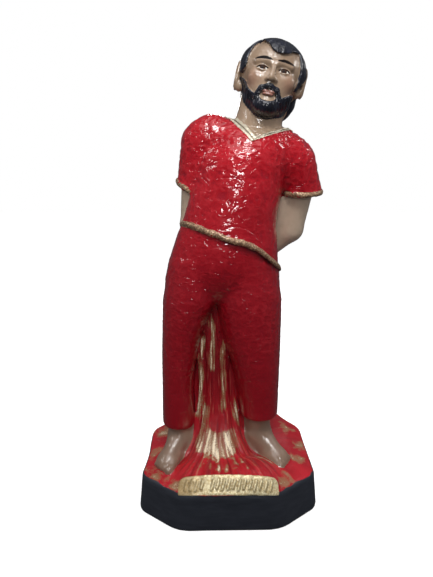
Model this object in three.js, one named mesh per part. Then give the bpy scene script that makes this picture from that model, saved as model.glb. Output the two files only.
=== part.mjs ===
// A painted plaster figure of a bearded spirit in a red tunic and trousers, barefoot, with the hands held behind the
// back. It leans against a bark-ribbed stump on an eight-sided base. Figure, stump and base are one solid casting.
//
// Millimetres. X is to the right as one faces the figure, Y runs from its front to its back, and Z is up.
// The origin is the middle of the flat underside.
//
// A casting has no sharp joins, so each form is a field: a function that gives the distance from a point to the
// form's skin, negative inside. Fields blend with a fillet where the plaster does, the whole is skinned once, and
// the skin is then thinned where it is flat.
import * as THREE from "three";

const { clamp, degToRad, smoothstep } = THREE.MathUtils;

// Driving dimensions

const BASE = {
  halfWidth: 57.5, // at the top of the black band
  halfDepth: 50,
  frontHalf: 30, // half the length of the front and back faces
  sideHalf: 29, // half the length of the two side faces
  bandHeight: 25.5,
  draft: 2.4, // how much the sides lean out towards the foot
  skew: 0.022, // the front face comes forward at its left end
  dent: 1.2, // hollow in the middle of the left side
  edgeRound: 5,
};
const MOUND = {
  rim: 26.2, // height where the red ground meets the band
  footing: 2.6, // gentle rise from the rim to the feet
  labelRise: 7.5, // extra height behind the label
  backRise: 3.6, // extra height along the back
};
const STUMP = { x: -8, y: 8, flutes: 16, fluteDepth: 0.75, sway: 0.35 };
const LABEL = {
  x: -0.5,
  faceY: -46.9,
  faceZ: 30.6,
  halfLength: 31,
  halfHeight: 5.7,
  lean: 35,
  arch: 1.8,
  wrap: 2.4,
  corner: 4.5,
  depth: 8,
};
const HEM = {
  height: 174,
  fallRight: 0.458,
  fallBack: 0.183,
  lift: 3.3, // how much it is drawn up a little right of the middle
  liftX: 15,
  liftWidth: 13,
  cord: 1.7,
};
const SLEEVE = { trim: 1.5, lip: 0.4, leftCuff: [-0.48, 0.22, -1], rightCuff: [0, 0.22, -1] };
const NECKLINE = { x: 15.6, z: 240.2, open: 1.83, lean: 1, trimWidth: 2.6, trimRise: 0.6, lip: 0.8 };
const NECK_HOLE = { x: 20.6, y: 3, z: 247, lean: 0.2, flare: 0.6, radius: 17.4 };
const HEAD = { x: 25.5, y: -1, z: 275, roll: 12, pitch: -5, turn: -4 };
const SKIN_STEP = { base: 2, head: 0.9 }; // size of a sampling cell at the foot and at the head
const TRIANGLES = 9600;

// Field tools

const FAR = 12; // more than the widest fillet, so a form that is left out above or below its band is not missed

const join = (a, b, fillet) => {
  const h = Math.max(fillet - Math.abs(a - b), 0) / fillet;
  return Math.min(a, b) - (h * h * fillet) / 4;
};
const overlap = (a, b, fillet) => -join(-a, -b, fillet);
const carve = (a, b, fillet) => overlap(a, -b, fillet);
const joinAll = (fillet, first, ...rest) => (x, y, z) => {
  let d = first(x, y, z);
  for (const field of rest) d = join(d, field(x, y, z), fillet);
  return d;
};

const banded = (low, high, field) => (x, y, z) =>
  z < low || z > high ? FAR + Math.max(low - z, z - high) : field(x, y, z);

const ovalDistance = (dx, dy, dz, rx, ry, rz) => {
  const reach = Math.hypot(dx / rx, dy / ry, dz / rz);
  const slope = Math.hypot(dx / (rx * rx), dy / (ry * ry), dz / (rz * rz));
  return slope > 1e-9 ? (reach * (reach - 1)) / slope : -Math.min(rx, ry, rz);
};
const egg = ([cx, cy, cz], [rx, ry, rz]) => (x, y, z) => ovalDistance(x - cx, y - cy, z - cz, rx, ry, rz);

const limb = ([ax, ay, az], [bx, by, bz], startRadius, endRadius) => {
  const [lx, ly, lz] = [bx - ax, by - ay, bz - az];
  const lengthSq = lx * lx + ly * ly + lz * lz;
  return (x, y, z) => {
    const [px, py, pz] = [x - ax, y - ay, z - az];
    const along = clamp((px * lx + py * ly + pz * lz) / lengthSq, 0, 1);
    const away = Math.hypot(px - lx * along, py - ly * along, pz - lz * along);
    return away - startRadius - (endRadius - startRadius) * along;
  };
};

// A local field set down in the figure, turned about its own origin by degrees round X, then Y, then Z.
const placed = (field, [x0, y0, z0], [turnX, turnY, turnZ] = [0, 0, 0]) => {
  const angles = new THREE.Euler(degToRad(turnX), degToRad(turnY), degToRad(turnZ), "ZYX");
  const [a, b, c, , d, e, f, , g, h, k] = new THREE.Matrix4().makeRotationFromEuler(angles).elements;
  return (x, y, z) => {
    const [u, v, w] = [x - x0, y - y0, z - z0];
    return field(a * u + b * v + c * w, d * u + e * v + f * w, g * u + h * v + k * w);
  };
};

// A smooth curve through one size of the stations of a body part, read by height.
const curveThrough = (stations, read) => {
  const heights = stations.map((s) => s.z);
  const sizes = stations.map(read);
  const last = stations.length - 1;
  const slopes = sizes.map((_, i) => {
    const [before, after] = [Math.max(i - 1, 0), Math.min(i + 1, last)];
    return (sizes[after] - sizes[before]) / (heights[after] - heights[before]);
  });
  let [lastZ, lastSize] = [NaN, 0]; // the skin is sampled in level layers, so most calls repeat a height
  return (z) => {
    if (z === lastZ) return lastSize;
    const at = clamp(z, heights[0], heights[last]);
    let i = 0;
    while (i < last - 1 && at > heights[i + 1]) i += 1;
    const gap = heights[i + 1] - heights[i];
    const t = (at - heights[i]) / gap;
    const [t2, t3] = [t * t, t * t * t];
    lastZ = z;
    lastSize =
      sizes[i] * (2 * t3 - 3 * t2 + 1) +
      sizes[i + 1] * (3 * t2 - 2 * t3) +
      gap * (slopes[i] * (t3 - 2 * t2 + t) + slopes[i + 1] * (t3 - t2));
    return lastSize;
  };
};

// An upright body of oval sections. Each station has its height z, its middle x and y, its half width, and its
// half depth to the front and to the back.
const column = (stations, endRound) => {
  const middleX = curveThrough(stations, (s) => s.x);
  const middleY = curveThrough(stations, (s) => s.y);
  const width = curveThrough(stations, (s) => s.width);
  const front = curveThrough(stations, (s) => s.front);
  const back = curveThrough(stations, (s) => s.back);
  const [foot, top] = [stations[0].z, stations[stations.length - 1].z];
  return (x, y, z) => {
    const dy = y - middleY(z);
    const side = ovalDistance(x - middleX(z), dy, 0, width(z), dy < 0 ? front(z) : back(z), 1);
    return overlap(side, Math.max(foot - z, z - top), endRound);
  };
};

// Base, ground and stump

const cornerRun = BASE.halfWidth - BASE.frontHalf;
const cornerDepth = BASE.halfDepth - BASE.sideHalf;
const cornerLength = Math.hypot(cornerRun, cornerDepth);
const [cornerNx, cornerNy] = [cornerDepth / cornerLength, cornerRun / cornerLength];
const cornerReach = cornerNx * BASE.frontHalf + cornerNy * BASE.halfDepth;

// Distance outside the eight-sided outline at a height, with the upright edges rounded.
const outline = (x, y, z) => {
  const dent = x < 0 ? BASE.dent * Math.exp(-(((y + 4) / 15) ** 2)) : 0;
  const spread = BASE.draft * clamp(1 - z / BASE.bandHeight, 0, 1);
  const [u, v] = [Math.abs(x), Math.abs(y - BASE.skew * x)];
  const walls = overlap(u - BASE.halfWidth - spread + dent, v - BASE.halfDepth, BASE.edgeRound);
  return overlap(walls, u * cornerNx + v * cornerNy - cornerReach - spread * 0.6, BASE.edgeRound);
};

// Height of the red ground. It climbs from the rim to the feet, behind the label and along the back.
const groundHeight = (x, y) => {
  const inside = Math.max(-outline(x, y, BASE.bandHeight), 0);
  const [dx, dy] = [x - STUMP.x, y - STUMP.y];
  const reach = Math.hypot(dx, dy);
  const behindLabel = Math.exp(-((Math.abs(x) / 30) ** 5)) * smoothstep(-y, 8, 30) * clamp(inside / 6, 0, 1);
  const back = smoothstep(y, 12, 44) * (1 + 1.6 * Math.exp(-(((x - 34) / 12) ** 2)));
  const ribs = 0.45 * Math.cos(3 * STUMP.flutes * Math.atan2(dy, dx)) * smoothstep(reach, 24, 34) * behindLabel;
  const footing = MOUND.footing * smoothstep(inside, 0, 14);
  return MOUND.rim + footing + MOUND.labelRise * behindLabel + MOUND.backRise * back + ribs;
};
const ground = (x, y, z) => {
  const step = 0.5;
  const height = groundHeight(x, y);
  const slope = Math.hypot(groundHeight(x + step, y) - height, groundHeight(x, y + step) - height) / step;
  const above = (z - height) / Math.hypot(1, slope);
  const block = overlap(outline(x, y, z), above, 3);
  return Math.max(overlap(block, -z - 0.4, 3), -z);
};

const stump = column(
  [
    { z: 22, x: -6, y: 8, width: 50, front: 70, back: 60 },
    { z: 30, x: -6.5, y: 8, width: 28, front: 50, back: 37 },
    { z: 35, x: -7, y: 8, width: 23, front: 39, back: 30 },
    { z: 42, x: -7, y: 8, width: 20.4, front: 28, back: 25 },
    { z: 52, x: -7.2, y: 8, width: 19.2, front: 20.5, back: 22 },
    { z: 70, x: -8.5, y: 8, width: 17.6, front: 16, back: 20.5 },
    { z: 105, x: -9, y: 7.5, width: 16, front: 14, back: 20 },
    { z: 156, x: -6, y: 6, width: 15, front: 10, back: 18 },
  ],
  4,
);
const barkRibs = (x, y, z) => {
  const angle = Math.atan2(y - STUMP.y, x - STUMP.x);
  const phase = STUMP.flutes * angle + STUMP.sway * STUMP.flutes * 0.25 * Math.sin(z * 0.06);
  return STUMP.fluteDepth * (Math.cos(phase) + 0.35 * Math.cos(2.3 * phase + 1)) * smoothstep(z, 24, 36);
};
const ribbedStump = banded(14, 165, (x, y, z) => {
  const ribbed = stump(x, y, z) - barkRibs(x, y, z);
  return z < 50 ? overlap(ribbed, outline(x, y, z) + 1.5, 3) : ribbed;
});

// The label is a plate that leans back on the roots, with its foot on the rim, its upper edge arched and its ends
// wrapped a little round the corners of the base.
const labelPlate = (u, v, w) => {
  const across = u / LABEL.halfLength;
  const upper = w - LABEL.halfHeight + LABEL.arch * across ** 2;
  const edges = Math.max(overlap(Math.abs(u) - LABEL.halfLength, upper, LABEL.corner), -w - LABEL.halfHeight);
  return overlap(edges, Math.max(LABEL.wrap * across ** 4 - v, v - LABEL.depth), 0.8);
};
const label = banded(12, 50, placed(labelPlate, [LABEL.x, LABEL.faceY, LABEL.faceZ], [-LABEL.lean, 0, 0]));

// Trousers and feet

const hips = column(
  [
    { z: 136, x: -5, y: 0.5, width: 32, front: 13, back: 16 },
    { z: 150, x: -4.2, y: 0.5, width: 37.4, front: 21, back: 24 },
    { z: 163, x: -3.4, y: 0, width: 36, front: 24, back: 25 },
    { z: 181, x: -1.2, y: -0.5, width: 32.4, front: 23.5, back: 21 },
    { z: 198, x: 1, y: 0, width: 28, front: 21, back: 18 },
  ],
  8,
);
const leftLeg = column(
  [
    { z: 49.5, x: -35, y: 0, width: 11, front: 15.5, back: 15.5 },
    { z: 63, x: -34.6, y: 0, width: 11.2, front: 16, back: 17 },
    { z: 79, x: -34.6, y: 0, width: 11, front: 16.5, back: 18 },
    { z: 95, x: -33.6, y: 0, width: 11.9, front: 17.5, back: 18.5 },
    { z: 111, x: -31.8, y: 0, width: 13.2, front: 19, back: 19 },
    { z: 127, x: -28.6, y: 0, width: 15.8, front: 21, back: 20 },
    { z: 140, x: -25, y: 0, width: 18.6, front: 22, back: 21 },
    { z: 165, x: -21, y: 0, width: 17, front: 20, back: 20 },
  ],
  2.4,
);
const rightLeg = column(
  [
    { z: 56, x: 21.6, y: 1, width: 13.6, front: 17.5, back: 16.5 },
    { z: 63, x: 21.4, y: 1, width: 13.8, front: 17.5, back: 17 },
    { z: 79, x: 20.3, y: 0.5, width: 15, front: 18.5, back: 18 },
    { z: 95, x: 18.5, y: 0, width: 17, front: 19.5, back: 19 },
    { z: 111, x: 16, y: 0, width: 19.6, front: 20.8, back: 20 },
    { z: 127, x: 14.3, y: 0, width: 21.4, front: 21.8, back: 20.5 },
    { z: 140, x: 13.4, y: 0, width: 22, front: 22.2, back: 21 },
    { z: 165, x: 13, y: 0, width: 17, front: 20, back: 20 },
  ],
  2.4,
);
const trousers = banded(36, 210, joinAll(3, hips, leftLeg, rightLeg));
// The plaster also fills the gaps between the ankles and the stump.
const ankleWebs = banded(
  20,
  76,
  joinAll(1, limb([13, 5, 34], [12, 6, 60], 6, 5), limb([-26, 10, 34], [-26, 10, 58], 5, 5)),
);

// A bare foot, with its ankle. It points to -Y, and inner is +1 or -1, the side of its big toe.
const foot = (inner, length, ankleHeight) => {
  const toes = [0, 1, 2, 3, 4].map((n) => {
    const across = inner * (4.8 - n * 2.5);
    const tip = 3 - length + 0.5 * n;
    const radius = n === 0 ? 2.9 : 2.3;
    return limb([across, tip + 9, 4], [across, tip, 1.6], radius + 0.8, radius);
  });
  const instep = joinAll(
    4,
    limb([0, 2, 0], [0, 16 - length, 0], 6.5, 6),
    egg([0, 3, 5], [9, 9.5, 8]),
    limb([0, -2, 11], [0, 13 - length, 4], 8.4, 5.2),
    limb([0, 1, 8], [0, 0, ankleHeight], 8.6, 8.8),
  );
  return joinAll(2.4, instep, egg([0, 14 - length, 3], [7.8, 10.5, 4.8]), ...toes);
};
const leftFoot = placed(foot(1, 31, 26), [-33, -3, 28.4], [0, 0, -24]);
const rightFoot = placed(foot(-1, 30, 38), [21.8, -1, 28.4], [0, 0, 40]);
const feet = banded(12, 76, joinAll(1, leftFoot, rightFoot));

// Tunic, with its hem cord, sleeves and neckline

const torso = column(
  [
    { z: 150, x: 0, y: 0, width: 33.4, front: 26.6, back: 25.4 },
    { z: 170, x: -0.2, y: 0, width: 32.4, front: 26.2, back: 24.4 },
    { z: 190, x: 0.6, y: 0, width: 30.2, front: 25, back: 21.6 },
    { z: 212, x: 5.8, y: 0.5, width: 29, front: 24, back: 21 },
    { z: 229, x: 10, y: 1, width: 29, front: 23, back: 21.4 },
    { z: 241, x: 13.5, y: 2, width: 25.6, front: 19, back: 19 },
    { z: 251, x: 16.5, y: 2.5, width: 16.6, front: 12.5, back: 15 },
  ],
  7,
);
const hemPlane = (x, y, z) => {
  const lift = HEM.lift * Math.exp(-(((x - HEM.liftX) / HEM.liftWidth) ** 2));
  const fall = HEM.fallRight * x + HEM.fallBack * y;
  return (HEM.height + lift - fall - z) / Math.hypot(1, HEM.fallRight, HEM.fallBack);
};
const hemCord = (x, y, z) => Math.hypot(torso(x, y, z) - 0.3, hemPlane(x, y, z)) - HEM.cord;

// A sleeve hangs from the shoulder, and its open end faces down, edged by a thin roll.
const sleeve = (shoulder, end, shoulderRadius, endRadius, cuff) => {
  const sock = limb(shoulder, end, shoulderRadius, endRadius);
  const down = new THREE.Vector3(...cuff).normalize();
  return (x, y, z) => {
    const past = (x - end[0]) * down.x + (y - end[1]) * down.y + (z - end[2]) * down.z;
    const roll = Math.hypot(sock(x, y, z) + SLEEVE.lip, past) - SLEEVE.trim;
    return join(overlap(sock(x, y, z), past, 1), roll, 0.6);
  };
};
const leftSleeve = sleeve([-16.8, 4.5, 239], [-21, 9, 209.8], 13.7, 13.3, SLEEVE.leftCuff);
const rightSleeve = sleeve([41.8, 4.5, 227], [48, 9, 209.2], 14, 13.2, SLEEVE.rightCuff);
const shoulders = joinAll(
  3,
  limb([-4, 3, 240.4], [-10.5, 4, 243.6], 13, 13),
  limb([29, 3, 235.5], [36, 4.5, 232.6], 12.4, 13.6),
);

// The neckline is a leaning V in front and runs round the neck behind. Negative inside the opening.
const neckOpening = (x, y, z) => {
  const rise = z - NECKLINE.z;
  const along = Math.abs(x - NECKLINE.x - NECKLINE.lean * rise);
  const vee = (along - NECKLINE.open * rise) / Math.hypot(1, NECKLINE.open) - 30 * smoothstep(y, -2, 10);
  const up = z - NECK_HOLE.z;
  const away = Math.hypot(x - NECK_HOLE.x - NECK_HOLE.lean * up, Math.max(y - NECK_HOLE.y, 0));
  const hole = (away - NECK_HOLE.radius - NECK_HOLE.flare * up) / Math.hypot(1, NECK_HOLE.flare);
  return overlap(vee, hole, 3);
};
const bodice = joinAll(4.5, torso, shoulders, leftSleeve, rightSleeve);
const tunic = banded(138, 270, (x, y, z) => {
  const cloth = overlap(bodice(x, y, z), hemPlane(x, y, z), 0.8);
  const opening = neckOpening(x, y, z);
  const bodyOnly = join(torso(x, y, z), shoulders(x, y, z), 6);
  const band = Math.abs(opening - NECKLINE.trimWidth / 2) - NECKLINE.trimWidth / 2;
  const trim = overlap(bodyOnly - NECKLINE.trimRise, band, 0.5);
  const open = carve(cloth, Math.max(opening, -NECKLINE.lip - bodyOnly), 0.6);
  return join(join(open, hemCord(x, y, z), 1.2), trim, 0.5);
});

// Arms and hands, drawn back behind the figure

const hand = (inner) => {
  const fingers = [0, 1, 2, 3].map((n) =>
    limb([inner * 5, 1.5, 4.6 - n * 3.1], [inner * 12.5, -1.5, 3.6 - n * 3.2], 2.2, 1.8),
  );
  const thumb = limb([0, 0.5, 6], [inner * 6, 2.5, 9], 2.3, 1.9);
  return joinAll(1.2, egg([inner * 1.5, 0.5, 0], [7, 3.8, 7]), thumb, ...fingers);
};
const arms = banded(
  138,
  232,
  joinAll(
    2.5,
    limb([-22, 9.5, 216], [-24.3, 17, 187], 9, 8.6),
    limb([-24.3, 17, 187], [-4, 29.5, 170], 8.4, 6.2),
    limb([46.6, 9.5, 212], [42.3, 17.5, 184.5], 10, 9.6),
    limb([42.3, 17.5, 184.5], [17.5, 29.5, 160.5], 9.3, 6.6),
    limb([36, 11, 206], [32, 19, 182], 8.6, 8.6),
    limb([-14, 12, 206], [-14, 20, 182], 8, 8),
    limb([0, 24, 170], [16, 24, 160], 7.5, 7.5),
    placed(hand(1), [2, 31.5, 166], [0, 34, 8]),
    placed(hand(-1), [9.5, 34.5, 158.5], [0, -22, -8]),
  ),
);

// Neck and head. The head is made upright about its own middle, facing -Y, and then tilted with the body.

const neck = banded(226, 276, limb([16.8, 2.5, 238], [20.6, 1.5, 263], 15.4, 13.8));

const ear = (side) =>
  joinAll(
    1,
    egg([side * 20, 2.5, -0.6], [2.2, 4.8, 7.8]),
    egg([side * 17.8, 1, -5.6], [2.4, 2.8, 3.2]),
  );
const face = joinAll(
  3,
  egg([-0.6, 2.6, 5], [19.3, 20.2, 18]),
  egg([0.2, 9.5, -8], [16, 12, 13.6]),
  egg([0, -4.2, -7.5], [13.8, 14.6, 15.4]),
  egg([0, -13.2, -19], [6.4, 5.6, 4.6]),
  egg([-8.6, -12, -3.6], [5.4, 4.6, 4.6]),
  egg([8.6, -12, -3.6], [5.4, 4.6, 4.6]),
);
const brow = joinAll(
  2,
  limb([-10, -14.6, 4.4], [-2, -17.2, 4], 1.8, 1.7),
  limb([10, -14.6, 4.4], [2, -17.2, 4], 1.8, 1.7),
);
const nose = joinAll(
  1.4,
  limb([0, -17, 4.4], [0, -21.4, -4.8], 1.5, 2.2),
  egg([-2.3, -18.8, -5.6], [1.7, 2, 1.6]),
  egg([2.3, -18.8, -5.6], [1.7, 2, 1.6]),
);
const eyeSocket = (side) => egg([side * 6.4, -20, 0.6], [4.2, 3.6, 3]);
const eyeball = (side) => egg([side * 6.3, -13.8, 0.6], [3.5, 3.2, 2.6]);
const mouth = joinAll(
  0.8,
  egg([0, -18.1, -11.6], [4.2, 1.7, 1.1]),
  egg([0, -17.9, -13.8], [3.6, 1.8, 1.3]),
);
const moustache = joinAll(
  1.5,
  limb([-1, -19.2, -8.8], [-6.6, -15.8, -12.6], 1.7, 1.8),
  limb([1, -19.2, -8.8], [6.6, -15.8, -12.6], 1.7, 1.8),
);

// Where hair and beard stand proud of the skin: above the hairline, down the nape and sideburns, and over the jaw.
const hairline = (a, b, c) => {
  const fringe = 9.8 + 0.78 * Math.max(2 - a, 0) + 0.6 * Math.max(a - 4.5, 0);
  const crown = fringe - c - 0.5 * Math.max(b + 8, 0);
  const sideburn = Math.max(Math.abs(b + 5.5) - 3.4, -8.5 - c);
  const nape = Math.max(4 - b, -21 - c);
  return Math.min(crown, Math.max(Math.min(sideburn, nape), 14.5 - Math.abs(a) - Math.max(b, 0)));
};
const beardline = (a, b, c) => Math.max(c + 8.5 - 0.75 * Math.max(Math.abs(a) - 7, 0), b - 1.5);
const lipArea = egg([0, -19, -12.6], [5.6, 6, 3.4]);

const head = (a, b, c) => {
  let skull = join(face(a, b, c), brow(a, b, c), 2);
  skull = carve(skull, Math.min(eyeSocket(-1)(a, b, c), eyeSocket(1)(a, b, c)), 2.4);
  skull = join(skull, Math.min(eyeball(-1)(a, b, c), eyeball(1)(a, b, c)), 0.7);
  skull = join(skull, nose(a, b, c), 1.4);
  const hair = overlap(skull - 1.2, hairline(a, b, c), 2);
  const beard = carve(overlap(skull - 0.9, beardline(a, b, c), 2.4), lipArea(a, b, c), 1.6);
  let all = join(Math.min(skull, hair), beard, 0.6);
  all = join(all, mouth(a, b, c), 0.8);
  all = join(all, moustache(a, b, c), 1);
  return join(all, Math.min(ear(-1)(a, b, c), ear(1)(a, b, c)), 2.4);
};
const tiltedHead = banded(240, 306, placed(head, [HEAD.x, HEAD.y, HEAD.z], [HEAD.pitch, HEAD.roll, HEAD.turn]));

// The whole casting

const casting = (x, y, z) => {
  const legs = join(join(trousers(x, y, z), ribbedStump(x, y, z), 3), ankleWebs(x, y, z), 4);
  const held = join(Math.min(legs, tunic(x, y, z)), arms(x, y, z), 4);
  const figure = join(held, join(neck(x, y, z), tiltedHead(x, y, z), 2.5), 0.8);
  const footing = join(ground(x, y, z), feet(x, y, z), 1.2);
  return join(join(figure, footing, 4), label(x, y, z), 1);
};

// Skinning. The sampling cells stand in level layers that follow the figure's lean and draw in towards the head.

const CAGE = [
  { z: -4, x: 0, y: 0, halfWidth: 64, halfDepth: 57 },
  { z: 40, x: 0, y: 0, halfWidth: 64, halfDepth: 57 },
  { z: 90, x: -2, y: 2, halfWidth: 52, halfDepth: 40 },
  { z: 170, x: 3, y: 7, halfWidth: 50, halfDepth: 42 },
  { z: 205, x: 11, y: 5, halfWidth: 53, halfDepth: 40 },
  { z: 225, x: 13, y: 3, halfWidth: 51, halfDepth: 37 },
  { z: 244, x: 13, y: 3, halfWidth: 48, halfDepth: 32 },
  { z: 256, x: 16, y: 2, halfWidth: 42, halfDepth: 29 },
  { z: 268, x: 26, y: 0, halfWidth: 27, halfDepth: 28 },
  { z: 304, x: 30, y: 0, halfWidth: 26, halfDepth: 28 },
];
const cage = Object.fromEntries(
  ["x", "y", "halfWidth", "halfDepth"].map((size) => [size, curveThrough(CAGE, (s) => s[size])]),
);
const cellsAcross = Math.round((2 * CAGE[0].halfWidth) / SKIN_STEP.base);
const cellsDeep = Math.round((2 * CAGE[0].halfDepth) / SKIN_STEP.base);
const layers = [-SKIN_STEP.base / 2];
while (layers.at(-1) < CAGE.at(-1).z) {
  const z = layers.at(-1);
  layers.push(z + THREE.MathUtils.lerp(SKIN_STEP.base, SKIN_STEP.head, smoothstep(z, 150, 250)));
}

// The six tetrahedra that share a cell's long diagonal. Corners are numbered x + 2y + 4z.
const TETRAHEDRA = [[1, 3], [3, 2], [2, 6], [6, 4], [4, 5], [5, 1]].map(([p, q]) => [0, p, q, 7]);

function skin(field) {
  const [nx, ny, nz] = [cellsAcross + 1, cellsDeep + 1, layers.length];
  const corners = new Float64Array(nx * ny * nz * 3);
  const depths = new Float64Array(nx * ny * nz);
  const cornerAt = (i, j, k) => (k * ny + j) * nx + i;
  layers.forEach((z, k) => {
    for (let j = 0; j < ny; j += 1)
      for (let i = 0; i < nx; i += 1) {
        const n = cornerAt(i, j, k);
        const x = cage.x(z) + cage.halfWidth(z) * ((2 * i) / cellsAcross - 1);
        const y = cage.y(z) + cage.halfDepth(z) * ((2 * j) / cellsDeep - 1);
        corners.set([x, y, z], n * 3);
        depths[n] = field(x, y, z) || 1e-9;
      }
  });

  const points = [];
  const faces = [];
  const made = new Map();
  const crossing = (a, b) => {
    const key = a < b ? a * depths.length + b : b * depths.length + a;
    if (!made.has(key)) {
      const t = clamp(depths[a] / (depths[a] - depths[b]), 0.02, 0.98);
      made.set(key, points.length / 3);
      for (let axis = 0; axis < 3; axis += 1)
        points.push(corners[a * 3 + axis] + t * (corners[b * 3 + axis] - corners[a * 3 + axis]));
    }
    return made.get(key);
  };
  const addFace = (a, b, c, outer) => {
    const [p, q, r] = [a, b, c].map((v) => new THREE.Vector3().fromArray(points, v * 3));
    const outward = new THREE.Vector3().fromArray(corners, outer * 3).sub(p);
    const facesOut = q.sub(p).cross(r.sub(p)).dot(outward) > 0;
    faces.push(facesOut ? [a, b, c] : [a, c, b]);
  };
  for (let k = 0; k < nz - 1; k += 1)
    for (let j = 0; j < ny - 1; j += 1)
      for (let i = 0; i < nx - 1; i += 1) {
        const cell = [0, 1, 2, 3, 4, 5, 6, 7].map((c) => cornerAt(i + (c & 1), j + ((c >> 1) & 1), k + (c >> 2)));
        const inside = cell.filter((n) => depths[n] < 0).length;
        if (inside === 0 || inside === 8) continue;
        for (const tetrahedron of TETRAHEDRA) {
          const all = tetrahedron.map((c) => cell[c]);
          const [held, free] = [all.filter((n) => depths[n] < 0), all.filter((n) => depths[n] >= 0)];
          if (held.length === 1) addFace(...free.map((n) => crossing(held[0], n)), free[0]);
          if (held.length === 3) addFace(...held.map((n) => crossing(n, free[0])), free[0]);
          if (held.length === 2) {
            const [a, b, c, d] = [[0, 0], [0, 1], [1, 1], [1, 0]].map(([h, f]) => crossing(held[h], free[f]));
            addFace(a, b, c, free[0]);
            addFace(a, c, d, free[0]);
          }
        }
      }

  // Where blends meet they can leave a bubble inside. The outer skin is what hangs together with the topmost point.
  const touching = Array.from({ length: points.length / 3 }, () => []);
  for (const corners of faces) for (const v of corners) touching[v].push(corners);
  let top = 0;
  for (let v = 1; v < touching.length; v += 1) if (points[v * 3 + 2] > points[top * 3 + 2]) top = v;
  const outer = new Set([top]);
  for (const v of outer) for (const corners of touching[v]) for (const next of corners) outer.add(next);
  const skinFaces = faces.filter(([v]) => outer.has(v));

  // Each point then settles on the form itself.
  const step = 0.05;
  for (let v = 0; v < points.length; v += 3) {
    const [x, y, z] = points.slice(v, v + 3);
    if (z < step) continue;
    const depth = field(x, y, z);
    const slopes = [field(x + step, y, z), field(x, y + step, z), field(x, y, z + step)].map((d) => (d - depth) / step);
    const move = clamp(depth / Math.max(slopes[0] ** 2 + slopes[1] ** 2 + slopes[2] ** 2, 0.2), -0.4, 0.4);
    for (let axis = 0; axis < 3; axis += 1) points[v + axis] -= move * slopes[axis];
  }
  return { points, faces: skinFaces };
}

// Thinning. The cost of losing an edge is how far the skin moves from the planes of the facets that meet there, and
// the cheapest edges go first. An edge stays where losing it would pinch the skin or turn a facet over.

const HEAD_CARE = 14; // the small forms of the head keep their shape this much longer
const SLIVER = 0.012; // facets thinner than this are not made; an even one has 0.29
const EVENNESS = 1e-6; // a faint pull that keeps the points on flat faces in place

// A heap of offers, the cheapest on top.
class CheapestFirst {
  offers = [];

  push(offer) {
    const { offers } = this;
    let at = offers.length;
    while (at > 0) {
      const above = (at - 1) >> 1;
      if (offers[above].cost <= offer.cost) break;
      offers[at] = offers[above];
      at = above;
    }
    offers[at] = offer;
  }

  pop() {
    const { offers } = this;
    const cheapest = offers[0];
    const moved = offers.pop();
    const count = offers.length;
    if (count === 0) return cheapest;
    let at = 0;
    for (;;) {
      let below = 2 * at + 1;
      if (below >= count) break;
      if (below + 1 < count && offers[below + 1].cost < offers[below].cost) below += 1;
      if (offers[below].cost >= moved.cost) break;
      offers[at] = offers[below];
      at = below;
    }
    offers[at] = moved;
    return cheapest;
  }
}

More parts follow.
